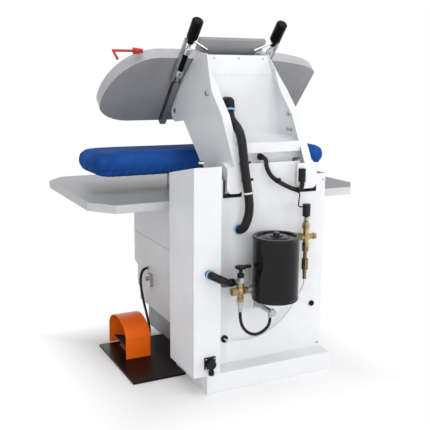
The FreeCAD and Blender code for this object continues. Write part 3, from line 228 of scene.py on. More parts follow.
# White coat with a seam: the same white a shade greyer, with the shadow line of the joint drawn
# across the pedestal, which ends at the column.
SEAM_Z = 0.512
SEAM_HALF = 0.0012
PEDESTAL_REAR = -0.042
seamed_coat = powder_coat("white_coat_with_seam", "#e2e3e6", "#d9dadd")
tree = seamed_coat.node_tree
shader = tree.nodes["Principled BSDF"]
place = add(tree, "ShaderNodeTexCoord").outputs["Object"]
height = add(tree, "ShaderNodeSeparateXYZ", {"Vector": place})
off = add(tree, "ShaderNodeMath", {0: height.outputs["Z"], 1: SEAM_Z}, operation="SUBTRACT")
near = add(tree, "ShaderNodeMath", {0: off.outputs["Value"]}, operation="ABSOLUTE")
line = add(tree, "ShaderNodeMath", {0: near.outputs["Value"], 1: SEAM_HALF}, operation="LESS_THAN")
front = add(tree, "ShaderNodeMath", {0: height.outputs["Y"], 1: PEDESTAL_REAR},
            operation="LESS_THAN")
mask = add(tree, "ShaderNodeMath", {0: line.outputs["Value"], 1: front.outputs["Value"]},
           operation="MULTIPLY")
coat_colour = shader.inputs["Base Color"].links[0].from_socket
groove = add(tree, "ShaderNodeMix",
             {0: mask.outputs["Value"], 6: coat_colour, 7: linear("#77787b")}, data_type="RGBA")
fill(tree, shader, {"Base Color": groove.outputs[2]})
dressed("side_panel_left", seamed_coat, 0)
dressed("side_panel_right", seamed_coat, 0)


def moulded(name, hexa, rough, grain_mm=0.8, depth=0.15, dust=0.004, shine=0.22):
    """Moulded rubber or plastic: matt, finely grained, with a little dust on it.

    The grain is drawn one or two millimetres across, coarser than the real one, so that it shows.
    """
    film_mm = 40
    material, tree, shader, place = blank(name)
    grain = add(tree, "ShaderNodeTexNoise",
                {"Vector": place, "Scale": 1000 / grain_mm, "Detail": 2.0})
    film = add(tree, "ShaderNodeTexNoise",
               {"Vector": place, "Scale": 1000 / film_mm, "Detail": 5.0})
    tint = add(tree, "ShaderNodeValToRGB", {"Fac": film.outputs["Fac"]})
    clean = linear(hexa)
    dusty = [c + dust for c in clean[:3]] + [1.0]
    for stop, share, colour in zip(tint.color_ramp.elements, (0.35, 0.8), (clean, dusty)):
        stop.position = share
        stop.color = colour
    gloss = add(tree, "ShaderNodeMapRange",
                {"Value": film.outputs["Fac"], "To Min": rough - 0.06, "To Max": rough + 0.1})
    bump = add(tree, "ShaderNodeBump",
               {"Height": grain.outputs["Fac"], "Strength": depth, "Distance": 0.0002})
    fill(tree, shader, {"Base Color": tint.outputs["Color"], "Specular IOR Level": shine,
                        "Roughness": gloss.outputs["Result"], "Normal": bump.outputs["Normal"]})
    return material


# Black rubber: nearly black and matt, with a breath of dust.
black_rubber = moulded("black_rubber", "#101011", 0.5)
dressed("panel_rubbers", black_rubber, 0.8)
# Zinc plate: a pale silver that has gone a little cloudy.
zinc_plate = turned_metal("zinc_plated_steel", "#c2c4c6", 0.32)
dressed("panel_screws", zinc_plate, 0.8)


def recess_shade(node, body, material, widest, facing_rear=False):
    """Painted shade of cross recesses: two crossed black slots on the outer face of each screw head
    of a node up to this width.
    """
    slot_wide = 0.0009
    slot_deep = 0.0004
    slot_share = 0.62
    heads = bmesh.new()
    heads.from_mesh(frame["nodes"][node].data)
    bmesh.ops.remove_doubles(heads, verts=heads.verts, dist=SAME_SPOT)
    form = bmesh.new()
    left = set(heads.verts)
    for first in heads.verts:
        if first not in left:
            continue
        left.discard(first)
        group = [first]
        for vertex in group:
            for edge in vertex.link_edges:
                other = edge.other_vert(vertex)
                if other in left:
                    left.discard(other)
                    group.append(other)
        low = Vector([min(v.co[i] for v in group) for i in range(3)])
        high = Vector([max(v.co[i] for v in group) for i in range(3)])
        size = high - low
        if max(size) > widest:
            continue
        axis = min(range(3), key=lambda i: size[i])
        middle = (low + high) / 2
        middle[axis] = high[axis] if facing_rear or middle[axis] > 0 else low[axis]
        for across in range(3):
            if across == axis:
                continue
            span = Vector((slot_wide, slot_wide, slot_wide))
            span[across] = max(size) * slot_share
            span[axis] = slot_deep
            spread = Matrix.Translation(middle) @ Matrix.Diagonal((*span, 1.0))
            bmesh.ops.create_cube(form, size=1.0, matrix=spread)
    heads.free()
    piece = placed(form, node + "_recesses", material)
    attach(piece, body)


# The screws' cross recesses, drawn as black slots of painted shade.
recess_shade("panel_screws", "base", black_rubber, 0.014)

# Service cabinet: the tall box beside the column that holds the controls, of white coated steel.
# The arm rests on a rubber stop with a white cap that is screwed into its sloping top, and a power
# inlet of black moulded plastic is screwed to its back.
SIDE, REAR, UP = (1, 0, 0), (0, 1, 0), (0, 0, 1)


def joined(form, rings):
    """Faces from each ring of corners to the next."""
    for low, high in zip(rings, rings[1:]):
        count = len(low)
        for i in range(count):
            form.faces.new((low[i], low[(i + 1) % count], high[(i + 1) % count], high[i]))


def lathe(name, profile, at, along, body, material, sides=40, hollow=False):
    """A turned piece: profile is (distance along, radius) in millimetres from one end to the other.

    A hollow one is a ring whose profile goes round and closes on itself.
    """
    crease = math.radians(38)
    form = bmesh.new()
    turn = Vector(UP).rotation_difference(Vector(along).normalized()).to_matrix()
    rings = []
    for reach, radius in profile:
        ring = []
        for i in range(sides):
            angle = math.tau * i / sides
            spot = Vector((radius * math.cos(angle), radius * math.sin(angle), reach)) / 1000
            ring.append(form.verts.new(turn @ spot + Vector(at)))
        rings.append(ring)
    if hollow:
        rings.append(rings[0])
    else:
        form.faces.new(list(reversed(rings[0])))
        form.faces.new(rings[-1])
    joined(form, rings)
    bmesh.ops.recalc_face_normals(form, faces=form.faces)
    piece = placed(form, name, material, smooth=True)
    piece.data.set_sharp_from_angle(angle=crease)
    if body:
        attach(piece, body)
    return piece


dressed("service_cabinet", white_coat, 2.0)
dressed("arm_stop", black_rubber, 1.0)
# White plastic: moulded, a soft plain white with a small highlight.
white_cap = moulded("white_plastic_cap", "#d8d9d8", 0.4, shine=0.5)
STOP_TOP = (0.358, 0.24, 1.0081)
lathe("arm_stop_cap", [(0, 9), (0, 11.2), (9, 11.2), (11.6, 9), (12.2, 0.1)], STOP_TOP, UP,
      "base", white_cap)
# Black plastic: moulded, smoother than the rubber, so its edges catch a thin light.
black_plastic = moulded("black_moulded_plastic", "#121214", 0.38)
dressed("power_inlet", black_plastic, 2.5, 3)
INLET_FOOT = (0.344, 0.319, 0.098)
INLET_FACE_Y = 0.3078
lathe("inlet_gland_nut", [(0, 9), (0, 13.5), (16, 13.5), (18, 11), (20, 9)], INLET_FOOT, UP,
      "base", black_plastic, 8)
for i, (x, z) in enumerate(((0.325, 0.128), (0.363, 0.128), (0.325, 0.166), (0.363, 0.166))):
    lathe("inlet_screw_%d" % (i + 1), [(0, 3.2), (1.2, 3.2), (2.0, 2.2), (2.1, 0.1)],
          (x, INLET_FACE_Y, z), REAR, "base", zinc_plate, 20)

# Table: the work top round the pad, of chipboard with a grey laminate pressed on.
# A pale plastic band is glued round its edge.

# Speckled laminate: matt, in two close greys with specks of about two millimetres, and faintly
# clouded where hands have wiped it.
SPECK_MM = 2.2
WIPED_MM = 166.7
laminate, tree, shader, place = blank("speckled_laminate")
speck = add(tree, "ShaderNodeTexVoronoi",
            {"Vector": place, "Scale": 1000 / SPECK_MM, "Randomness": 1.0})
cloud = add(tree, "ShaderNodeTexNoise", {"Vector": place, "Scale": 1000 / WIPED_MM, "Detail": 4.0})
tint = add(tree, "ShaderNodeValToRGB", {"Fac": speck.outputs["Color"]})
for stop, share, colour in zip(tint.color_ramp.elements, (0.15, 0.8), ("#868789", "#9a9b9d")):
    stop.position = share
    stop.color = linear(colour)
shade = add(tree, "ShaderNodeMix",
            {0: cloud.outputs["Fac"], 6: tint.outputs["Color"], 7: linear("#8b8c8e")},
            data_type="RGBA")
bump = add(tree, "ShaderNodeBump",
           {"Height": speck.outputs["Distance"], "Strength": 0.06, "Distance": 0.0003})
fill(tree, shader, {"Base Color": shade.outputs[2], "Roughness": 0.5,
                    "Normal": bump.outputs["Normal"]})
dressed("table_top", laminate, 0.6)
# Edge band: extruded plastic, a pale plain grey that draws a light line round the table.
edge_band = moulded("pale_edge_band", "#c6c7c8", 0.45, 1.2, 0.05, 0.03, 0.4)
dressed("table_edging", edge_band, 1.2)

# Buck: the hollow steel steam chest under the pad, welded from plate and left bare.
# It is bolted to a stand of white coated sheet steel that comes up through the table.
dressed("buck_stand", white_coat, 2.0)
dressed("buck", zinc_plate, 2.0)

# Pad: felt padding in a blue cotton cover, pulled tight over the buck.
# A cord in the hem gathers the cover under the buck, so the top is smooth and small pleats run
# down to the drawn-in hem, most of them at the corners.
pad_low, pad_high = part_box("buck_pad")
PAD_HALF = pad_high.x
PAD_DEEP = (pad_high.y - pad_low.y) / 2
PAD_Y = (pad_high.y + pad_low.y) / 2
PAD_LOW = pad_low.z
PAD_TOP = pad_high.z


def pad_ring(inset, corner, z):
    """Points spread evenly round a level rounded rectangle about the pad's middle.

    The -X end is squarer, with corners half as round.
    """
    count = 132
    corner_steps = 8
    runs = []
    for sx, sy, start in ((1, 1, 0), (-1, 1, 90), (-1, -1, 180), (1, -1, 270)):
        bend = corner if sx > 0 else corner * 0.5
        half_x = PAD_HALF - inset - bend
        half_y = PAD_DEEP - inset - bend
        for i in range(corner_steps + 1):
            angle = math.radians(start + i * 90 / corner_steps)
            runs.append(Vector((sx * half_x + bend * math.cos(angle),
                                PAD_Y + sy * half_y + bend * math.sin(angle), z)))
    runs.append(runs[0].copy())
    lengths = [0.0]
    for a, b in zip(runs, runs[1:]):
        lengths.append(lengths[-1] + (b - a).length)
    ring = []
    k = 0
    for i in range(count):
        want = lengths[-1] * i / count
        while lengths[k + 1] < want:
            k += 1
        share = (want - lengths[k]) / (lengths[k + 1] - lengths[k])
        ring.append(runs[k].lerp(runs[k + 1], share))
    return ring


# The stuffed form, by share of the pad's height and by how far its outline lies inside the box.
PAD_LEVELS = ((0.0, 0.058), (0.10, 0.026), (0.30, 0.007), (0.55, 0.004), (0.76, 0.012),
              (0.88, 0.034), (0.935, 0.075), (0.955, 0.13))
PAD_CORNER = 0.060
LEAST_CORNER = 0.02
form = bmesh.new()
rings = []
for share, inset in PAD_LEVELS:
    corner = max(PAD_CORNER - inset * 0.2, LEAST_CORNER)
    outline = pad_ring(inset, corner, PAD_LOW + share * (PAD_TOP - PAD_LOW))
    rings.append([form.verts.new(spot) for spot in outline])
joined(form, rings)
form.faces.new(list(reversed(rings[0])))
form.faces.new(rings[-1])
bmesh.ops.triangulate(form, faces=[f for f in form.faces if len(f.verts) > 4])
pad = placed(form, "pad_cover")
remesh = pad.modifiers.new("remesh", "REMESH")
remesh.mode = "VOXEL"
remesh.voxel_size = 0.006


def apply_modifiers(piece):
    """Makes the piece's shape with its modifiers its own mesh."""
    seen = bpy.context.evaluated_depsgraph_get()
    made = bpy.data.meshes.new_from_object(piece.evaluated_get(seen))
    piece.modifiers.clear()
    piece.data = made


# The cover is blown up a little as cloth, held at its hem.
HEM_HELD = 0.014
CLOTH_STEPS = 20
apply_modifiers(pad)
before = [v.co.copy() for v in pad.data.vertices]
hold = pad.vertex_groups.new(name="hem")
hold.add([i for i, p in enumerate(before) if p.z < PAD_LOW + HEM_HELD], 1.0, "REPLACE")
cloth = pad.modifiers.new("cloth", "CLOTH")
cloth.settings.use_pressure = True
cloth.settings.uniform_pressure_force = 4.0
cloth.settings.tension_stiffness = 12
cloth.settings.bending_stiffness = 1.5
cloth.settings.mass = 0.35
cloth.settings.vertex_group_mass = "hem"
cloth.settings.effector_weights.gravity = 0
cloth.collision_settings.use_collision = False
cloth.point_cache.frame_start = 1
cloth.point_cache.frame_end = CLOTH_STEPS
scene = bpy.context.scene
for step in range(1, CLOTH_STEPS + 1):
    scene.frame_set(step)
apply_modifiers(pad)
scene.frame_set(1)

# Pleats run down to the hem, deeper at the corners, and the top sags a little between its stuffing.
MOST_MOVE = 0.008
HEM_HEIGHT = 0.062
PLEAT_STEP = 0.042
PLEAT_DEEP = 0.0030
CORNER_DEEPER = 0.0045
CORNER_FROM_X = 0.72
CORNER_FROM_Y = 0.3
SAG = 0.0012
SAG_ALONG, SAG_ACROSS = 9.1, 14
TOP_ROOM = 0.0004
for vertex, old in zip(pad.data.vertices, before):
    move = vertex.co - old
    if move.length > MOST_MOVE:
        move *= MOST_MOVE / move.length
    spot = old + move
    y = spot.y - PAD_Y
    low = max(0.0, 1 - (spot.z - PAD_LOW) / HEM_HEIGHT)
    corner = max(0.0, abs(spot.x) / PAD_HALF - CORNER_FROM_X) / (1 - CORNER_FROM_X)
    corner *= max(0.0, abs(y) / PAD_DEEP - CORNER_FROM_Y) / (1 - CORNER_FROM_Y)
    # Three waves that never fall in step, so that no two pleats are alike.
    turn = (spot.x + 0.9 * y) * math.tau / PLEAT_STEP
    pleat = math.sin(turn) + 0.5 * math.sin(turn * 1.7 + 1.3) + 0.4 * math.sin(turn * 0.37)
    outward = Vector((spot.x / PAD_HALF ** 2, y / PAD_DEEP ** 2, 0)).normalized()
    spot += outward * ((PLEAT_DEEP + CORNER_DEEPER * corner) * pleat * low ** 0.8)
    sag = SAG * math.sin(spot.x * SAG_ALONG + 0.7) * math.sin((spot.y - PAD_Y) * SAG_ACROSS)
    spot.z = min(spot.z + sag * (1 - low), PAD_TOP - TOP_ROOM)
    vertex.co = spot
finer = pad.modifiers.new("finer", "SUBSURF")
finer.levels = 1
finer.render_levels = 1
for face in pad.data.polygons:
    face.use_smooth = True


def rib_scale(apart_mm):
    """The wave texture's scale for ribs on the diagonal this far apart.

    The texture goes through 10 radians for each unit along X, along Y and along Z.
    """
    return 1000 * math.tau / (10 * math.sqrt(3) * apart_mm)


# Blue cotton drill: a dull, even blue with no highlight, clouded where steam has faded it, and
# slightly ribbed by its weave. The ribs are drawn 1.8 mm apart, coarser than the real half
# millimetre, so that they show.
THREAD_MM = 1.82
FADED_MM = 142.9
SLUB_MM = 4.545
cotton, tree, shader, place = blank("blue_cotton_drill")
warp = add(tree, "ShaderNodeTexWave",
           {"Vector": place, "Scale": rib_scale(THREAD_MM), "Distortion": 0.3},
           wave_type="BANDS", bands_direction="DIAGONAL")
cloud = add(tree, "ShaderNodeTexNoise", {"Vector": place, "Scale": 1000 / FADED_MM, "Detail": 5.0})
slub = add(tree, "ShaderNodeTexNoise", {"Vector": place, "Scale": 1000 / SLUB_MM, "Detail": 3.0})
tint = add(tree, "ShaderNodeValToRGB", {"Fac": cloud.outputs["Fac"]})
for stop, share, colour in zip(tint.color_ramp.elements, (0.32, 0.68), ("#18438b", "#275cad")):
    stop.position = share
    stop.color = linear(colour)
thread = add(tree, "ShaderNodeMix",
             {0: 0.12, 6: tint.outputs["Color"], 7: warp.outputs["Color"]},
             data_type="RGBA", blend_type="OVERLAY")
both = add(tree, "ShaderNodeMath", {0: warp.outputs["Fac"], 1: slub.outputs["Fac"]},
           operation="ADD")
bump = add(tree, "ShaderNodeBump",
           {"Height": both.outputs["Value"], "Strength": 0.16, "Distance": 0.0004})
fill(tree, shader, {"Base Color": thread.outputs[2], "Roughness": 0.85,
                    "Specular IOR Level": 0.08, "Normal": bump.outputs["Normal"]})
pad.data.materials.append(cotton)
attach(pad, "base")
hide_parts("buck_pad")

# Foot control: a black rubber-faced pedal on a pin, under a guard against falling things.
# The guard is bent from one strip of steel and coated orange, and it and the plated bracket are
# bolted to the floor plate. A chromed knob turns on a stem in the pedestal's front.

# Orange powder coat: a strong, even orange with little shine.
orange_coat = powder_coat("orange_powder_coat", "#fb6d12", "#f2650e", 0.42, shine=0.2)
dressed("pedal_guard", orange_coat, 1.0)
dressed("pedal_bracket", zinc_plate, 0.8)
dressed("pedal", black_rubber, 1.5)
# Chrome: a mirror with clear dark and light shapes in it.
dressed("front_knob", turned_metal("chromed_knob", "#c9cbce", 0.14), 2.0, 3)

# Air fitting and air tubes: a plated bracket with an elbow on the pedestal's side, and two tubes
# down to the pedal. The tubes are extruded black rubber, pushed into the fitting at one end and
# clipped under the guard at the other.
ELBOW_FOOT = (0.3062, -0.519, 0.302)
SOCKET_TOP = (0.321, -0.519, 0.307)
dressed("tube_fitting", zinc_plate, 1.5)
lathe("fitting_elbow", [(0, 8), (0.8, 10.5), (9, 10.5), (10, 8), (21, 8), (22, 6.5)],
      ELBOW_FOOT, SIDE, "base", zinc_plate, 24)
lathe("fitting_socket", [(0, 6.5), (1, 8), (10, 8), (10.8, 10), (21, 10), (22, 7)],
      SOCKET_TOP, (0, 0, -1), "base", zinc_plate, 24)


def cord_curve(name, route, radius, body, node, material):
    """A hose along one smooth line whose control points are the route's."""
    data = bpy.data.curves.new(name, "CURVE")
    data.dimensions = "3D"
    spline = data.splines.new("NURBS")
    spline.points.add(len(route) - 1)
    for point, spot in zip(spline.points, route):
        point.co = (*spot, 1.0)
    spline.order_u = 3
    spline.use_endpoint_u = True
    spline.resolution_u = 12
    data.bevel_depth = radius
    data.bevel_resolution = 6
    data.use_fill_caps = True
    data.materials.append(material)
    piece = bpy.data.objects.new(name, data)
    bpy.context.collection.objects.link(piece)
    if body:
        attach(piece, body)
        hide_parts(node)
    return piece


# Hose rubber: extruded, black, with a low sheen along its length.
hose_rubber = moulded("black_hose_rubber", "#0f0f10", 0.4, 1.5, 0.15)
for i, shift in enumerate((-0.006, 0.006)):
    route = [(0.297, -0.562 + shift, 0.345), (0.321, -0.562 + shift, 0.345),
             (0.341, -0.552 + shift, 0.300), (0.346, -0.530 + shift, 0.246),
             (0.350, -0.485 + shift, 0.190), (0.356, -0.425 + shift, 0.140),
             (0.366, -0.358 + shift, 0.092), (0.386, -0.312 + shift, 0.054),
             (0.412, -0.322 + shift, 0.034), (0.436, -0.330 + shift, 0.026)]
    air_tube = cord_curve("air_tube_%d" % (i + 1), route, 0.005, "base", "pedal_tubes",
                          hose_rubber)

# Tank: the condensate can on the back, drawn from steel sheet with a rolled rim and a stepped lid.
# It is dipped in enamel, and it sits on a plated saddle that is screwed to the panel.

# Black enamel: deep black, and glossy enough to show the lamps as clear streaks.
black_enamel = powder_coat("black_enamel", "#100f10", "#161516", 0.14, 4.0, 0.02, 0.24)
dressed("tank", black_enamel, 2.0, 3)
TANK_AXIS = (0.040, 0.332)
for name, profile, z, sides, hollow in (
        ("tank_rim", [(0, 101), (0, 102.8), (2, 104.4), (5, 105), (8, 104.4), (10.5, 102.4),
                      (10.5, 101)], 0.680, 96, True),
        ("tank_seam", [(0, 101.5), (0, 102.6), (1.5, 103.6), (4.5, 103.6), (6, 102.6),
                       (6, 101.5)], 0.412, 96, True),
        ("tank_lid_boss", [(0, 30), (3, 30), (5, 27), (5, 15), (15, 14), (17, 12),
                           (17.5, 0.1)], 0.688, 48, False)):
    lathe(name, profile, (*TANK_AXIS, z), UP, "base", black_enamel, sides, hollow)
dressed("tank_bracket", zinc_plate, 1.0)

# Pipe fittings: a cross with a lever beside the tank and a steam valve with a coil at the right.
# The bodies are cast brass with turned hexagons, and the nipples and nuts are zinc plated steel.
# The coil and the lever are moulded black plastic.

# Cast brass: gone dull and olive, with a coarse skin that breaks up the shine.
cast_brass = turned_metal("cast_brass", "#ac966c", 0.34, 1.4, 0.3)
# Dull bronze: browner and darker than the brass.
dull_bronze = turned_metal("dull_bronze", "#7f7156", 0.4, 1.4, 0.3)
dressed("brass_cross", cast_brass, 1.2)
CROSS = Vector((0.196, 0.300, 0.452))
lathe("cross_body", [(-19, 12), (-14, 18), (-6, 20.5), (6, 20.5), (14, 18), (19, 12)],
      CROSS, UP, "base", cast_brass, 40)
for name, profile, shift, along, slot, metal in (
        ("cross_plug_hex", [(0, 15), (0.8, 19), (20, 19), (21.5, 16.5)],
         (0.0215, 0, 0), SIDE, "brass_cross", cast_brass),
        ("cross_foot_hex", [(0, 14), (0.8, 17.5), (17, 17.5), (18, 14)],
         (0, 0, -0.0485), UP, "brass_cross", cast_brass),
        ("cross_side_hex", [(0, 14), (0.8, 17), (11, 17), (12, 14)],
         (-0.034, 0, 0), SIDE, "brass_cross", cast_brass),
        ("gland_hex", [(0, 14), (0.8, 18), (25, 18), (27, 15)],
         (0, 0, 0.0355), UP, "steel_fittings", zinc_plate),
        ("nipple_hex", [(0, 18), (1, 22.5), (11, 22.5), (12.5, 19)],
         (-0.0595, 0, 0), SIDE, "steel_fittings", zinc_plate),
        ("ferrule_hex", [(0, 12), (0.8, 15.5), (12, 15.5), (13, 12)],
         (0, 0, -0.0630), UP, "steel_fittings", zinc_plate)):
    lathe(name, profile, CROSS + Vector(shift), along, "base", metal, 6)
dressed("steam_valve_body", cast_brass, 1.2)
VALVE = Vector((-0.159, 0.262, 0))
for name, profile, shift, along, metal in (
        ("valve_top_hex", [(0, 14), (0.8, 18.5), (18, 18.5), (19, 15)],
         (0, 0, 0.692), UP, cast_brass),
        ("valve_foot_hex", [(0, 14), (0.8, 17.5), (16, 17.5), (17, 14)],
         (0, 0, 0.606), UP, cast_brass),
        ("coil_nut", [(0, 9), (0.8, 12.5), (15, 12.5), (16, 9)], (0, 0, 0.726), UP, zinc_plate),
        ("check_hex", [(0, 12), (0.8, 16.5), (48, 16.5), (50, 12)],
         (0, 0, 0.498), UP, dull_bronze),
        ("valve_branch_hex", [(0, 12), (0.8, 15), (12, 15), (13, 12)],
         (0.014, 0, 0.650), SIDE, cast_brass)):
    lathe(name, profile, VALVE + Vector(shift), along, "base", metal, 6)
DRAIN_CAP = (0.060, 0.3415, 0.347)
lathe("drain_cap_hex", [(0, 14), (0.8, 18.5), (12, 18.5), (13.5, 15.5)], DRAIN_CAP, REAR,
      "base", zinc_plate, 6)


def second_finish(piece, material, where):
    """Gives the faces of a piece that pass the test a finish of their own."""
    piece.data.materials.append(material)
    for face in piece.data.polygons:
        if where(face):
            face.material_index = 1


VALVE_SIDE_X = -0.1
COIL_FOOT_Z = 0.7
second_finish(dressed("steel_fittings", zinc_plate, 1.0), dull_bronze,
              lambda face: face.center.x < VALVE_SIDE_X)
second_finish(dressed("valve_coil", black_plastic, 1.2), cast_brass,
              lambda face: face.center.z < COIL_FOOT_Z)
dressed("valve_handle", black_plastic, 3.0, 3)
LEVER_FOOT = (0.196, 0.300, 0.5505)
lathe("lever_disc", [(0, 14), (2, 22), (5, 25.5), (10, 26), (13, 24), (14.5, 18), (15, 0.1)],
      LEVER_FOOT, UP, "valve_lever", black_plastic, 48)

# Hoses and cables on the back: rubber drain and feed hoses, a clear condensate tube and a coil
# cable. The hoses are pushed over barbs and held by pale blue spring clips, and the tube is
# extruded plastic that goes through a grommet in the panel.
route = [(0.196, 0.300, 0.358), (0.196, 0.300, 0.318), (0.182, 0.306, 0.278),
         (0.154, 0.314, 0.252), (0.120, 0.321, 0.246), (0.088, 0.326, 0.260),
         (0.060, 0.328, 0.288), (0.060, 0.328, 0.321)]
drain_hose = cord_curve("drain_hose_line", route, 0.007, "base", "drain_hose", hose_rubber)
# Clear plastic: milky and only half clear, with a soft and uneven shine.
HAZE_MM = 16.67
clear_tube, tree, shader, place = blank("clear_plastic_tube")
haze = add(tree, "ShaderNodeTexNoise", {"Vector": place, "Scale": 1000 / HAZE_MM, "Detail": 3.0})
gloss = add(tree, "ShaderNodeMapRange",
            {"Value": haze.outputs["Fac"], "To Min": 0.2, "To Max": 0.4})
fill(tree, shader, {"Base Color": linear("#eceded"), "Roughness": gloss.outputs["Result"],
                    "Transmission Weight": 0.18, "IOR": 1.42})
route = [(0.228, 0.214, 0.206), (0.228, 0.238, 0.206), (0.202, 0.240, 0.199),
         (0.160, 0.229, 0.191), (0.110, 0.227, 0.187), (0.058, 0.227, 0.194),
         (0.008, 0.227, 0.211), (-0.038, 0.227, 0.236), (-0.080, 0.227, 0.268),
         (-0.112, 0.229, 0.306), (-0.136, 0.234, 0.348), (-0.150, 0.246, 0.390),
         (-0.159, 0.262, 0.424), (-0.159, 0.262, 0.452)]
drain_tube = cord_curve("condensate_tube", route, 0.004, "base", "drain_tube", clear_tube)
route = [(0.350, 0.300, 0.546), (0.350, 0.334, 0.546), (0.316, 0.346, 0.529),
         (0.284, 0.332, 0.511), (0.264, 0.294, 0.493), (0.260, 0.252, 0.478),
         (0.226, 0.252, 0.478)]
feed_hose = cord_curve("feed_hose_line", route, 0.017, "base", "feed_hose", hose_rubber)


def spline_points(route):
    """Points along the smooth line whose control points are the route's."""
    guide = cord_curve("guide", route, 0.0, None, None, hose_rubber)
    guide.data.use_fill_caps = False
    guide.data.splines[0].resolution_u = 24
    bpy.context.view_layer.update()
    seen = bpy.context.evaluated_depsgraph_get()
    made = bpy.data.meshes.new_from_object(guide.evaluated_get(seen))
    line = [v.co.copy() for v in made.vertices]
    bpy.data.objects.remove(guide)
    bpy.data.meshes.remove(made)
    return line


def on_line(line, reach):
    """The point of a hose's line this many metres along it, and the way it runs there."""
    for here, there in zip(line, line[1:]):
        reach -= (there - here).length
        if reach < 0:
            break
    return there, there - here


# Blue nylon: moulded, a pale clean blue with small highlights.
blue_clip = moulded("pale_blue_nylon", "#7fb9e4", 0.35, 2.0, 0.05, 0.02, 0.5)


def spring_clip(name, inner, outer, at, along, body):
    """A blue clip round a hose, 8 mm wide with broken edges. Its radii are in millimetres."""
    profile = [(0, inner), (0, outer - 0.6), (1, outer), (7, outer), (8, outer - 0.6), (8, inner)]
    return lathe(name, profile, at, along, body, blue_clip, 48, True)


FEED_BARB = (0.205, 0.252, 0.478)
FEED_CLIP_REACH = 0.009
at, along = on_line(spline_points(route), FEED_CLIP_REACH)
feed_clip = spring_clip("feed_clip", 16.6, 20.2, at, along, "base")
feed_cuff = lathe("feed_cuff",
                  [(0, 12.6), (0, 17.6), (2, 18.4), (20, 18.4), (22, 17.0), (22, 12.6)],
                  FEED_BARB, SIDE, "base", hose_rubber, 40, True)
route = [(-0.140, 0.212, 0.850), (-0.140, 0.230, 0.850), (-0.130, 0.248, 0.838),
         (-0.118, 0.259, 0.816), (-0.114, 0.262, 0.790), (-0.141, 0.262, 0.790)]
coil_cable = cord_curve("coil_cable_line", route, 0.003, "base", "coil_cable", hose_rubber)

# Arm: two side plates bent inwards above, with a rear panel, a crossbar and round hubs on the axle.
# It is plate cut to shape, welded and coated white. The rear edges are folded in as flanges that
# run out to nothing above the bend, and a thin strip covers the top of the rear panel.
for name, finish, edge_mm in (("arm_plate_left", white_coat, 1.0),
                              ("arm_plate_right", white_coat, 1.0),
                              ("arm_rear_panel", white_coat, 0),
                              ("arm_crossbar", white_coat, 1.0),
                              ("arm_bushes", cast_brass, 0.5),
                              ("arm_cross_shafts", ground_steel, 1.0),
                              ("arm_fasteners", zinc_plate, 0.8)):
    dressed(name, finish, edge_mm)
# The fasteners' cross recesses, drawn as black slots of painted shade.
recess_shade("arm_fasteners", "arm", black_rubber, 0.012, facing_rear=True)
dressed("arm_rubbers", black_rubber, 1.5)


def bar(name, levels, body, material, edge_mm=0):
    """A bar through levels of four corners each, closed at both ends."""
    form = bmesh.new()
    rings = [[form.verts.new(corner) for corner in level] for level in levels]
    joined(form, rings)
    form.faces.new(rings[0])
    form.faces.new(rings[-1])
    bmesh.ops.recalc_face_normals(form, faces=form.faces)
    if edge_mm:
        bmesh.ops.bevel(form, geom=form.edges[:], offset=edge_mm / 1000, segments=2,
                        affect="EDGES")
    piece = placed(form, name, material)
    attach(piece, body)


# Each level of a flange's end: its height, its rear face, its outer edge and its width.
FLANGE_LEVELS = ((1.3001, 0.012, 0.195, 0.035), (1.347, -0.027, 0.1847, 0.020),
                 (1.391, -0.0593, 0.1751, 0.002))
FLANGE_THICK = 0.005
for side, sign in (("left", 1), ("right", -1)):
    levels = [[(sign * (outer - back), y - deep, z)
               for back, deep in ((0, 0), (width, 0), (width, FLANGE_THICK), (0, FLANGE_THICK))]
              for z, y, outer, width in FLANGE_LEVELS]
    bar("arm_flange_end_" + side, levels, "arm", white_coat)
# The strip's lower and upper edge: its height, the panel's face there and half its width.
STRIP_EDGES = ((1.370, -0.09488, 0.1785), (1.4595, -0.10975, 0.1590))
STRIP_BACK, STRIP_FACE = 0.0002, 0.0018
levels = [[(x * half, y + off, z)
           for x, off in ((1, STRIP_BACK), (-1, STRIP_BACK), (-1, STRIP_FACE), (1, STRIP_FACE))]
          for z, y, half in STRIP_EDGES]
bar("arm_top_strip", levels, "arm", white_coat, 0.5)
PIN_END = (-0.2002, -0.028, 1.288)
lathe("arm_pin_boss", [(0, 14), (17, 14), (20, 12), (21.5, 8), (22, 0.1)], PIN_END, (-1, 0, 0),
      "arm", white_cap, 40)

# Control sleeve: the wires' black braided sleeve, from the crossbar to the boot on the arm's foot.
# It is woven nylon, pushed into a gland at each end and held to the arm's foot by nylon ties.

# Braided nylon: black, with a lattice of small grey painted highlights on the braid, and a low
# sheen.
# The braid is drawn at 3.4 mm, coarser than the real one and a half, so that it shows.
BRAID_MM = 3.42
braid, tree, shader, place = blank("black_braided_nylon")
spin = add(tree, "ShaderNodeMapping", {"Vector": place, "Rotation": (0.0, math.pi / 2, 0.0)})
left = add(tree, "ShaderNodeTexWave", {"Vector": place, "Scale": rib_scale(BRAID_MM)},
           bands_direction="DIAGONAL")
right = add(tree, "ShaderNodeTexWave",
            {"Vector": spin.outputs["Vector"], "Scale": rib_scale(BRAID_MM)},
            bands_direction="DIAGONAL")
weave = add(tree, "ShaderNodeMath", {0: left.outputs["Fac"], 1: right.outputs["Fac"]},
            operation="MULTIPLY")
# The lattice's lighter grey is painted highlight on the braid's crossings.
tint = add(tree, "ShaderNodeMix",
           {0: weave.outputs["Value"], 6: linear("#0b0b0c"), 7: linear("#1d1d1f")},
           data_type="RGBA")
bump = add(tree, "ShaderNodeBump",
           {"Height": weave.outputs["Value"], "Strength": 0.5, "Distance": 0.0006})
fill(tree, shader, {"Base Color": tint.outputs[2], "Roughness": 0.55,
                    "Specular IOR Level": 0.25, "Normal": bump.outputs["Normal"]})
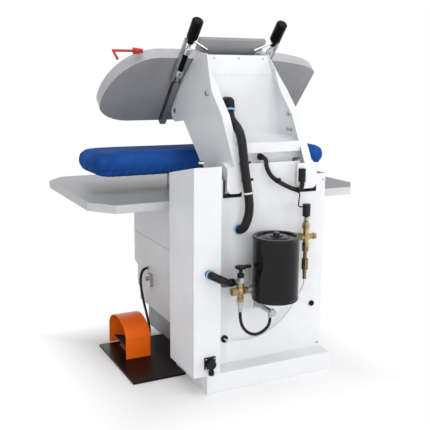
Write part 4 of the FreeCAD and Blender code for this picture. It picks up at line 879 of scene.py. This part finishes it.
route = [(0.027, 0.153, 1.013), (0.027, 0.191, 1.013), (0.038, 0.228, 1.006),
         (0.046, 0.245, 0.978), (0.025, 0.250, 0.938), (-0.007, 0.250, 0.915),
         (-0.056, 0.250, 0.889), (-0.104, 0.250, 0.868), (-0.141, 0.249, 0.866),
         (-0.141, 0.249, 0.902)]
sleeve = cord_curve("control_sleeve_line", route, 0.010, "arm", "control_sleeve", braid)
SLEEVE_EXIT = (0.027, 0.1535, 1.013)
lathe("sleeve_gland", [(0, 15), (8, 15), (10, 13), (22, 12.4), (24, 10.5)], SLEEVE_EXIT, REAR,
      "arm", black_plastic, 40)


def tie(name, at, along, radius, material, body=None):
    """A nylon tie: a flat band round a hose of this radius in millimetres, with its lock."""
    along = Vector(along).normalized()
    band = [(-3.5, radius - 1), (-3.5, radius + 1.8), (3.5, radius + 1.8), (3.5, radius - 1)]
    lock = [(-5, 3.2), (-5, 7.5), (5, 7.5), (5, 3.2)]
    aside = Vector((-1, 0.9, 0.1))
    aside = (aside - along * aside.dot(along)).normalized()
    spot = Vector(at) + aside * (radius + 4) / 1000
    return [lathe(name, band, at, along, body, material, 40, True),
            lathe(name + "_lock", lock, spot, along, body, material, 4, True)]


line = spline_points(route)
sleeve_ties = []
for name, reach in (("sleeve_tie_1", 0.190), ("sleeve_tie_2", 0.305)):
    at, along = on_line(line, reach)
    sleeve_ties += tie(name, at, along, 10, black_plastic, "arm")

# Steam hose: the thick hose from the column's back to the arm's socket, drawn in one fixed shape.
# It is black rubber wound on a former, so it has fine rings, and it is held by blue clips at its
# ends and by nylon ties on its way.
way = Vector((0.1, 0.35, -1)).normalized()
SOCKET = Vector((0.084, -0.0738, 1.246))
SOCKET_STEP = 0.034
start = SOCKET + Vector(REAR) * SOCKET_STEP + way * SOCKET_STEP
route = [tuple(start), tuple(start + way * SOCKET_STEP),
         (0.112, 0.048, 1.166), (0.130, 0.127, 1.145),
         (0.150, 0.196, 1.119), (0.160, 0.232, 1.080), (0.163, 0.248, 1.034),
         (0.160, 0.260, 0.968), (0.148, 0.265, 0.888), (0.137, 0.264, 0.820),
         (0.142, 0.264, 0.764), (0.166, 0.256, 0.706), (0.166, 0.212, 0.706)]
line = spline_points(route)


def ribbed_tube(name, line, radius, pitch, rib, material):
    """A tube along a line of points, with rounded ribs of one pitch."""
    sides = 28
    steps_per_rib = 4
    form = bmesh.new()
    reach = [0.0]
    for a, b in zip(line, line[1:]):
        reach.append(reach[-1] + (b - a).length)
    steps = int(reach[-1] / (pitch / steps_per_rib))
    side = (line[1] - line[0]).orthogonal().normalized()
    rings = []
    k = 0
    for i in range(steps + 1):
        want = reach[-1] * i / steps
        while k < len(line) - 2 and reach[k + 1] < want:
            k += 1
        spot = line[k].lerp(line[k + 1], (want - reach[k]) / (reach[k + 1] - reach[k]))
        ahead = (line[k + 1] - line[k]).normalized()
        side = (side - ahead * side.dot(ahead)).normalized()
        across = ahead.cross(side)
        swell = radius - rib * (0.5 - 0.5 * math.cos(math.tau * want / pitch))
        ring = []
        for j in range(sides):
            angle = math.tau * j / sides
            off = (side * math.cos(angle) + across * math.sin(angle)) * swell
            ring.append(form.verts.new(spot + off))
        rings.append(ring)
    joined(form, rings)
    form.faces.new(list(reversed(rings[0])))
    form.faces.new(rings[-1])
    return placed(form, name, material, smooth=True)


steam_hose = ribbed_tube("steam_hose_line", line, 0.020, 0.006, 0.0012, hose_rubber)
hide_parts("steam_hose")
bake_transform(steam_hose)
# White nylon: moulded, a clean off-white that stands out on the black hose.
white_nylon = moulded("white_nylon", "#dcdddc", 0.4, 2.0, 0.05, 0.0, 0.4)
hose_pieces = []
for name, reach, material in (("hose_tie_upper", 0.391, black_plastic),
                              ("hose_tie_lower", 0.464, black_plastic),
                              ("hose_tie_pale", 0.519, white_nylon)):
    at, along = on_line(line, reach)
    hose_pieces += tie(name, at, along, 20, material)
for piece in hose_pieces:
    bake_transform(piece)
CLIP_OVERLAP = 0.001
PANEL_CLIP_REACH = 0.7206
hose_pieces.append(spring_clip("socket_clip", 19.6, 26.2, line[0] - way * CLIP_OVERLAP, way,
                               "arm"))
at, along = on_line(line, PANEL_CLIP_REACH)
hose_pieces.append(spring_clip("panel_clip", 19.6, 23.2, at, -along, "base"))

# Head: the hinged upper half, a pressed steel cover over a polished aluminium platen, on cast lugs.
# The cover is one grey coat, with painted light on its rolled rim and painted shade on its back. A
# shallow closed box is screwed to its back and overhangs the front edge.
HEAD_LEAN = math.radians(42)
head_forward = Vector((0, math.sin(HEAD_LEAN), math.cos(HEAD_LEAN)))
head_up = Vector((0, math.cos(HEAD_LEAN), -math.sin(HEAD_LEAN)))
# Head grey and rim grey: shaded and lit copies of one grey coat, the lit one paler and a little
# smoother, painted on the sideways rim so that it reads as a light band round the cover.
head_grey = powder_coat("head_grey_coat", "#979798", "#8b8b8c", 0.45)
lit_rim_grey = powder_coat("head_rim_coat", "#b9babd", "#aeafb2", 0.4)
LIT_RIM_BELOW = 0.5
# The cover's faces turned sideways take the pale grey as painted light, the rest the darker grey.
second_finish(dressed("head_cover", head_grey, 1.5), lit_rim_grey,
              lambda face: abs(face.normal.dot(head_up)) < LIT_RIM_BELOW)
# Polished platen: a pale mirror, hazed along its length by grinding, with rows of steam holes
# painted near black as the shade inside them.
# The grinding lines are drawn 2 mm apart, coarser than the real ones, so that they show.
LINE_MM = 2.0
LINE_STRETCH = 0.02
HOLE_STEP = 0.050
HOLE_RADIUS = 0.0028
platen_metal, tree, shader, place = blank("polished_platen")
deep = add(tree, "ShaderNodeVectorMath", {0: place, 1: head_forward}, operation="DOT_PRODUCT")
wide = add(tree, "ShaderNodeSeparateXYZ", {"Vector": place})
flat = add(tree, "ShaderNodeCombineXYZ", {"X": wide.outputs["X"], "Y": deep.outputs["Value"]})
cell = add(tree, "ShaderNodeTexVoronoi",
           {"Vector": flat.outputs["Vector"], "Scale": 1 / HOLE_STEP, "Randomness": 0.0})
# Discs painted near black where the steam holes are: painted shade inside the holes.
painted_hole_shade = add(tree, "ShaderNodeMath",
           {0: cell.outputs["Distance"], 1: HOLE_RADIUS / HOLE_STEP}, operation="LESS_THAN")
stretch = add(tree, "ShaderNodeMapping",
              {"Vector": flat.outputs["Vector"], "Scale": (LINE_STRETCH, 1.0, 1.0)})
lines = add(tree, "ShaderNodeTexNoise",
            {"Vector": stretch.outputs["Vector"], "Scale": 1000 / LINE_MM, "Detail": 2.0})
sheen = add(tree, "ShaderNodeMix",
            {0: lines.outputs["Fac"], 6: linear("#bcbec1"), 7: linear("#d2d4d6")},
            data_type="RGBA")
metal = add(tree, "ShaderNodeMix",
            {0: painted_hole_shade.outputs["Value"], 6: sheen.outputs[2], 7: linear("#0a0a0a")},
            data_type="RGBA")
gloss = add(tree, "ShaderNodeMapRange",
            {"Value": lines.outputs["Fac"], "To Min": 0.34, "To Max": 0.24})
bump = add(tree, "ShaderNodeBump",
           {"Height": lines.outputs["Fac"], "Strength": 0.06, "Distance": 0.0003})
fill(tree, shader, {"Base Color": metal.outputs[2], "Metallic": 1.0,
                    "Roughness": gloss.outputs["Result"], "Normal": bump.outputs["Normal"]})
dressed("head_platen", platen_metal, 1.0)
dressed("head_lugs", frame_coat, 1.0)
dressed("head_bonnet", head_grey, 1.5)

# Handles: two chromed rods with soft rubber grips, in cast clamps on rails along the head's back.
# A flat plated bar stiffens each rod on its outer side, and a red steel hand lever turns in a
# tapered collar on the head's front edge.

# Chromed steel: a clear mirror, almost without marks.
chrome = turned_metal("chromed_steel", "#d3d5d8", 0.1, 1.5, 0.02)
# Rail coats: a dark grey, rubbed to a mid grey on the broad faces.
rail_coat = powder_coat("dark_rail_coat", "#2c2c2e", "#262628", 0.4)
worn_rail = powder_coat("worn_rail_face", "#77777a", "#68686b", 0.45)
BROAD_ABOVE = 0.7
second_finish(dressed("handle_rails", rail_coat, 1.5), worn_rail,
              lambda face: abs(face.normal.dot(head_up)) > BROAD_ABOVE)
dressed("handle_rods", chrome, 0.8)
# Cast aluminium: a pale silver with a slightly rough skin.
clamp_metal = turned_metal("cast_aluminium_clamp", "#dfe0e2", 0.3, 1.2, 0.1)
dressed("handle_clamps", clamp_metal, 1.5)
# Grip rubber: the deepest black on the machine, worn smooth by hands.
grip_rubber = moulded("black_grip_rubber", "#030303", 0.3, 0.8, 0.1, 0.001, 0.1)
dressed("handle_grips", grip_rubber, 1.0)

# The head's hinge, in millimetres: where it is in the machine, and where it is on the head itself.
HINGE_Y, HINGE_Z = -399.7, 1192.3
HINGE_DEEP, HINGE_HIGH = 133, 65
LEAN_SIN, LEAN_COS = 0.6691, 0.7431


def head_spot(x, deep, high):
    """A place on the open head, in millimetres across, forward and off its back."""
    y = HINGE_Y + (deep - HINGE_DEEP) * LEAN_SIN + (high - HINGE_HIGH) * LEAN_COS
    z = HINGE_Z + (deep - HINGE_DEEP) * LEAN_COS - (high - HINGE_HIGH) * LEAN_SIN
    return Vector((x, y, z)) / 1000


BAR_CORNERS = ((239, 9), (253, 9), (253, 25), (239, 25))
BAR_ENDS = (286, 547)
COLLAR_X, COLLAR_DEEP, COLLAR_HIGH = 221, 523, 19
for name, sign in (("left", 1), ("right", -1)):
    levels = [[head_spot(sign * x, deep, high) for x, high in BAR_CORNERS] for deep in BAR_ENDS]
    bar("handle_bar_" + name, levels, "head", zinc_plate, 1.2)
    lathe("rod_collar_" + name, [(0, 10), (0, 14), (1.5, 15.5), (20, 15.5), (22, 14), (22, 10)],
          head_spot(sign * COLLAR_X, COLLAR_DEEP, COLLAR_HIGH), head_forward, "head",
          grip_rubber, 40)
# Red coats: a signal red, a little deeper on the collar, with a tighter shine than the white.
collar_red = powder_coat("red_collar_coat", "#c01a1a", "#ad1616", 0.35)
lever_red = powder_coat("red_lever_coat", "#c8191b", "#b01517", 0.35)
COLLAR_FOOT = head_spot(424, 548, -40)
FOOT_X = 0.4335
FOOT_LONG = 0.006
second_finish(dressed("lever_collar", collar_red, 1.0), lit_rim_grey,
              lambda face: face.center.x < FOOT_X
              and (face.center - COLLAR_FOOT).dot(head_forward) < FOOT_LONG)
dressed("hand_lever", lever_red, 0.8)

# Studio: a pale paper floor that fades into a white surround, lit by large soft lamps.
# Lamps stand behind the camera, to the right, in front and overhead, and a narrow one gives round
# pieces their streak, at a level where a colour renders about as it is written.
FLOOR_HALF = 30
FLOOR_Z = -0.0005
form = bmesh.new()
bmesh.ops.create_grid(form, x_segments=1, y_segments=1, size=FLOOR_HALF)
floor = placed(form, "studio_floor")
floor.location.z = FLOOR_Z


def seen_rays(tree):
    """1 for the rays that show the surround itself: straight, mirrored or through glass."""
    rays = add(tree, "ShaderNodeLightPath")
    seen = add(tree, "ShaderNodeMath",
               {0: rays.outputs["Is Camera Ray"], 1: rays.outputs["Is Glossy Ray"]},
               operation="MAXIMUM")
    seen = add(tree, "ShaderNodeMath",
               {0: seen.outputs["Value"], 1: rays.outputs["Is Transmission Ray"]},
               operation="MAXIMUM")
    return seen.outputs["Value"]


# Paper: a matt white that takes the shadow near the machine, and glows white further out.
FADE_WIDE = 0.28
paper, tree, shader, place = blank("white_paper_floor")
fill(tree, shader, {"Base Color": linear("#fbfbfb"), "Roughness": 0.9})
spot = add(tree, "ShaderNodeSeparateXYZ", {"Vector": place})
past = []
for axis, middle, half in (("X", 0.14, 0.45), ("Y", -0.08, 0.38)):
    off = add(tree, "ShaderNodeMath", {0: spot.outputs[axis], 1: middle}, operation="SUBTRACT")
    off = add(tree, "ShaderNodeMath", {0: off.outputs["Value"]}, operation="ABSOLUTE")
    off = add(tree, "ShaderNodeMath", {0: off.outputs["Value"], 1: half}, operation="SUBTRACT")
    past.append(off.outputs["Value"])
furthest = add(tree, "ShaderNodeMath", {0: past[0], 1: past[1]}, operation="MAXIMUM")
fade = add(tree, "ShaderNodeMapRange",
           {"Value": furthest.outputs["Value"], "From Min": 0.0, "From Max": FADE_WIDE})
shown = add(tree, "ShaderNodeMath", {0: seen_rays(tree), 1: fade.outputs["Result"]},
            operation="MULTIPLY")
glow = add(tree, "ShaderNodeEmission", {"Color": (1, 1, 1, 1), "Strength": 1.0})
mixed = add(tree, "ShaderNodeMixShader",
            {0: shown.outputs["Value"], 1: shader.outputs["BSDF"], 2: glow.outputs["Emission"]})
fill(tree, tree.nodes["Material Output"], {"Surface": mixed.outputs["Shader"]})
floor.data.materials.append(paper)

ROOM_LIGHT = 0.4
world = bpy.data.worlds.new("white_room")
bpy.context.scene.world = world
world.use_nodes = True
tree = world.node_tree
level = add(tree, "ShaderNodeMapRange",
            {"Value": seen_rays(tree), "To Min": ROOM_LIGHT, "To Max": 1.0})
fill(tree, tree.nodes["Background"],
     {"Color": (1, 1, 1, 1), "Strength": level.outputs["Result"]})

for name, spot, target, wide, tall, power in (
        ("key_lamp", (0.8, 5.0, 1.4), (0, 0, 0.8), 4.0, 4.0, 80),
        ("right_lamp", (-3.5, 2.0, 0.6), (0, -0.2, 1.2), 2.5, 2.5, 78),
        ("strip_lamp", (3.3, 3.5, 1.4), (0, 0.3, 0.8), 0.35, 2.4, 24),
        ("front_lamp", (-0.6, -5.0, 2.0), (0, 0, 0.8), 4.0, 4.0, 46),
        ("overhead_lamp", (0.2, 1.4, 4.8), (0, 0, 0.2), 4.0, 4.0, 92)):
    lamp = bpy.data.lights.new(name, "AREA")
    lamp.shape = "RECTANGLE"
    lamp.size = wide
    lamp.size_y = tall
    lamp.energy = power
    holder = bpy.data.objects.new(name, lamp)
    bpy.context.collection.objects.link(holder)
    holder.location = spot
    holder.rotation_euler = (Vector(target) - Vector(spot)).to_track_quat("-Z", "Y").to_euler()

# Camera: behind the machine on the cabinet's side, at the head's height.
# It has the place, the turn and the lens that lay the part over the photograph.
CAMERA_SPOT = (1.6065, 2.8718, 1.3854)
HEADING = math.pi - 0.4631607
TILT = math.pi / 2 - 0.2013125
ROLL = 0.0072366
lens = bpy.data.cameras.new("camera")
lens.sensor_fit = "HORIZONTAL"
lens.sensor_width = 36
lens.lens = 58.94
camera = bpy.data.objects.new("camera", lens)
bpy.context.collection.objects.link(camera)
turn = (Matrix.Rotation(HEADING, 4, "Z") @ Matrix.Rotation(TILT, 4, "X")
        @ Matrix.Rotation(ROLL, 4, "Z"))
camera.matrix_world = Matrix.Translation(CAMERA_SPOT) @ turn
bpy.context.scene.camera = camera
bpy.context.scene.view_settings.view_transform = "Standard"
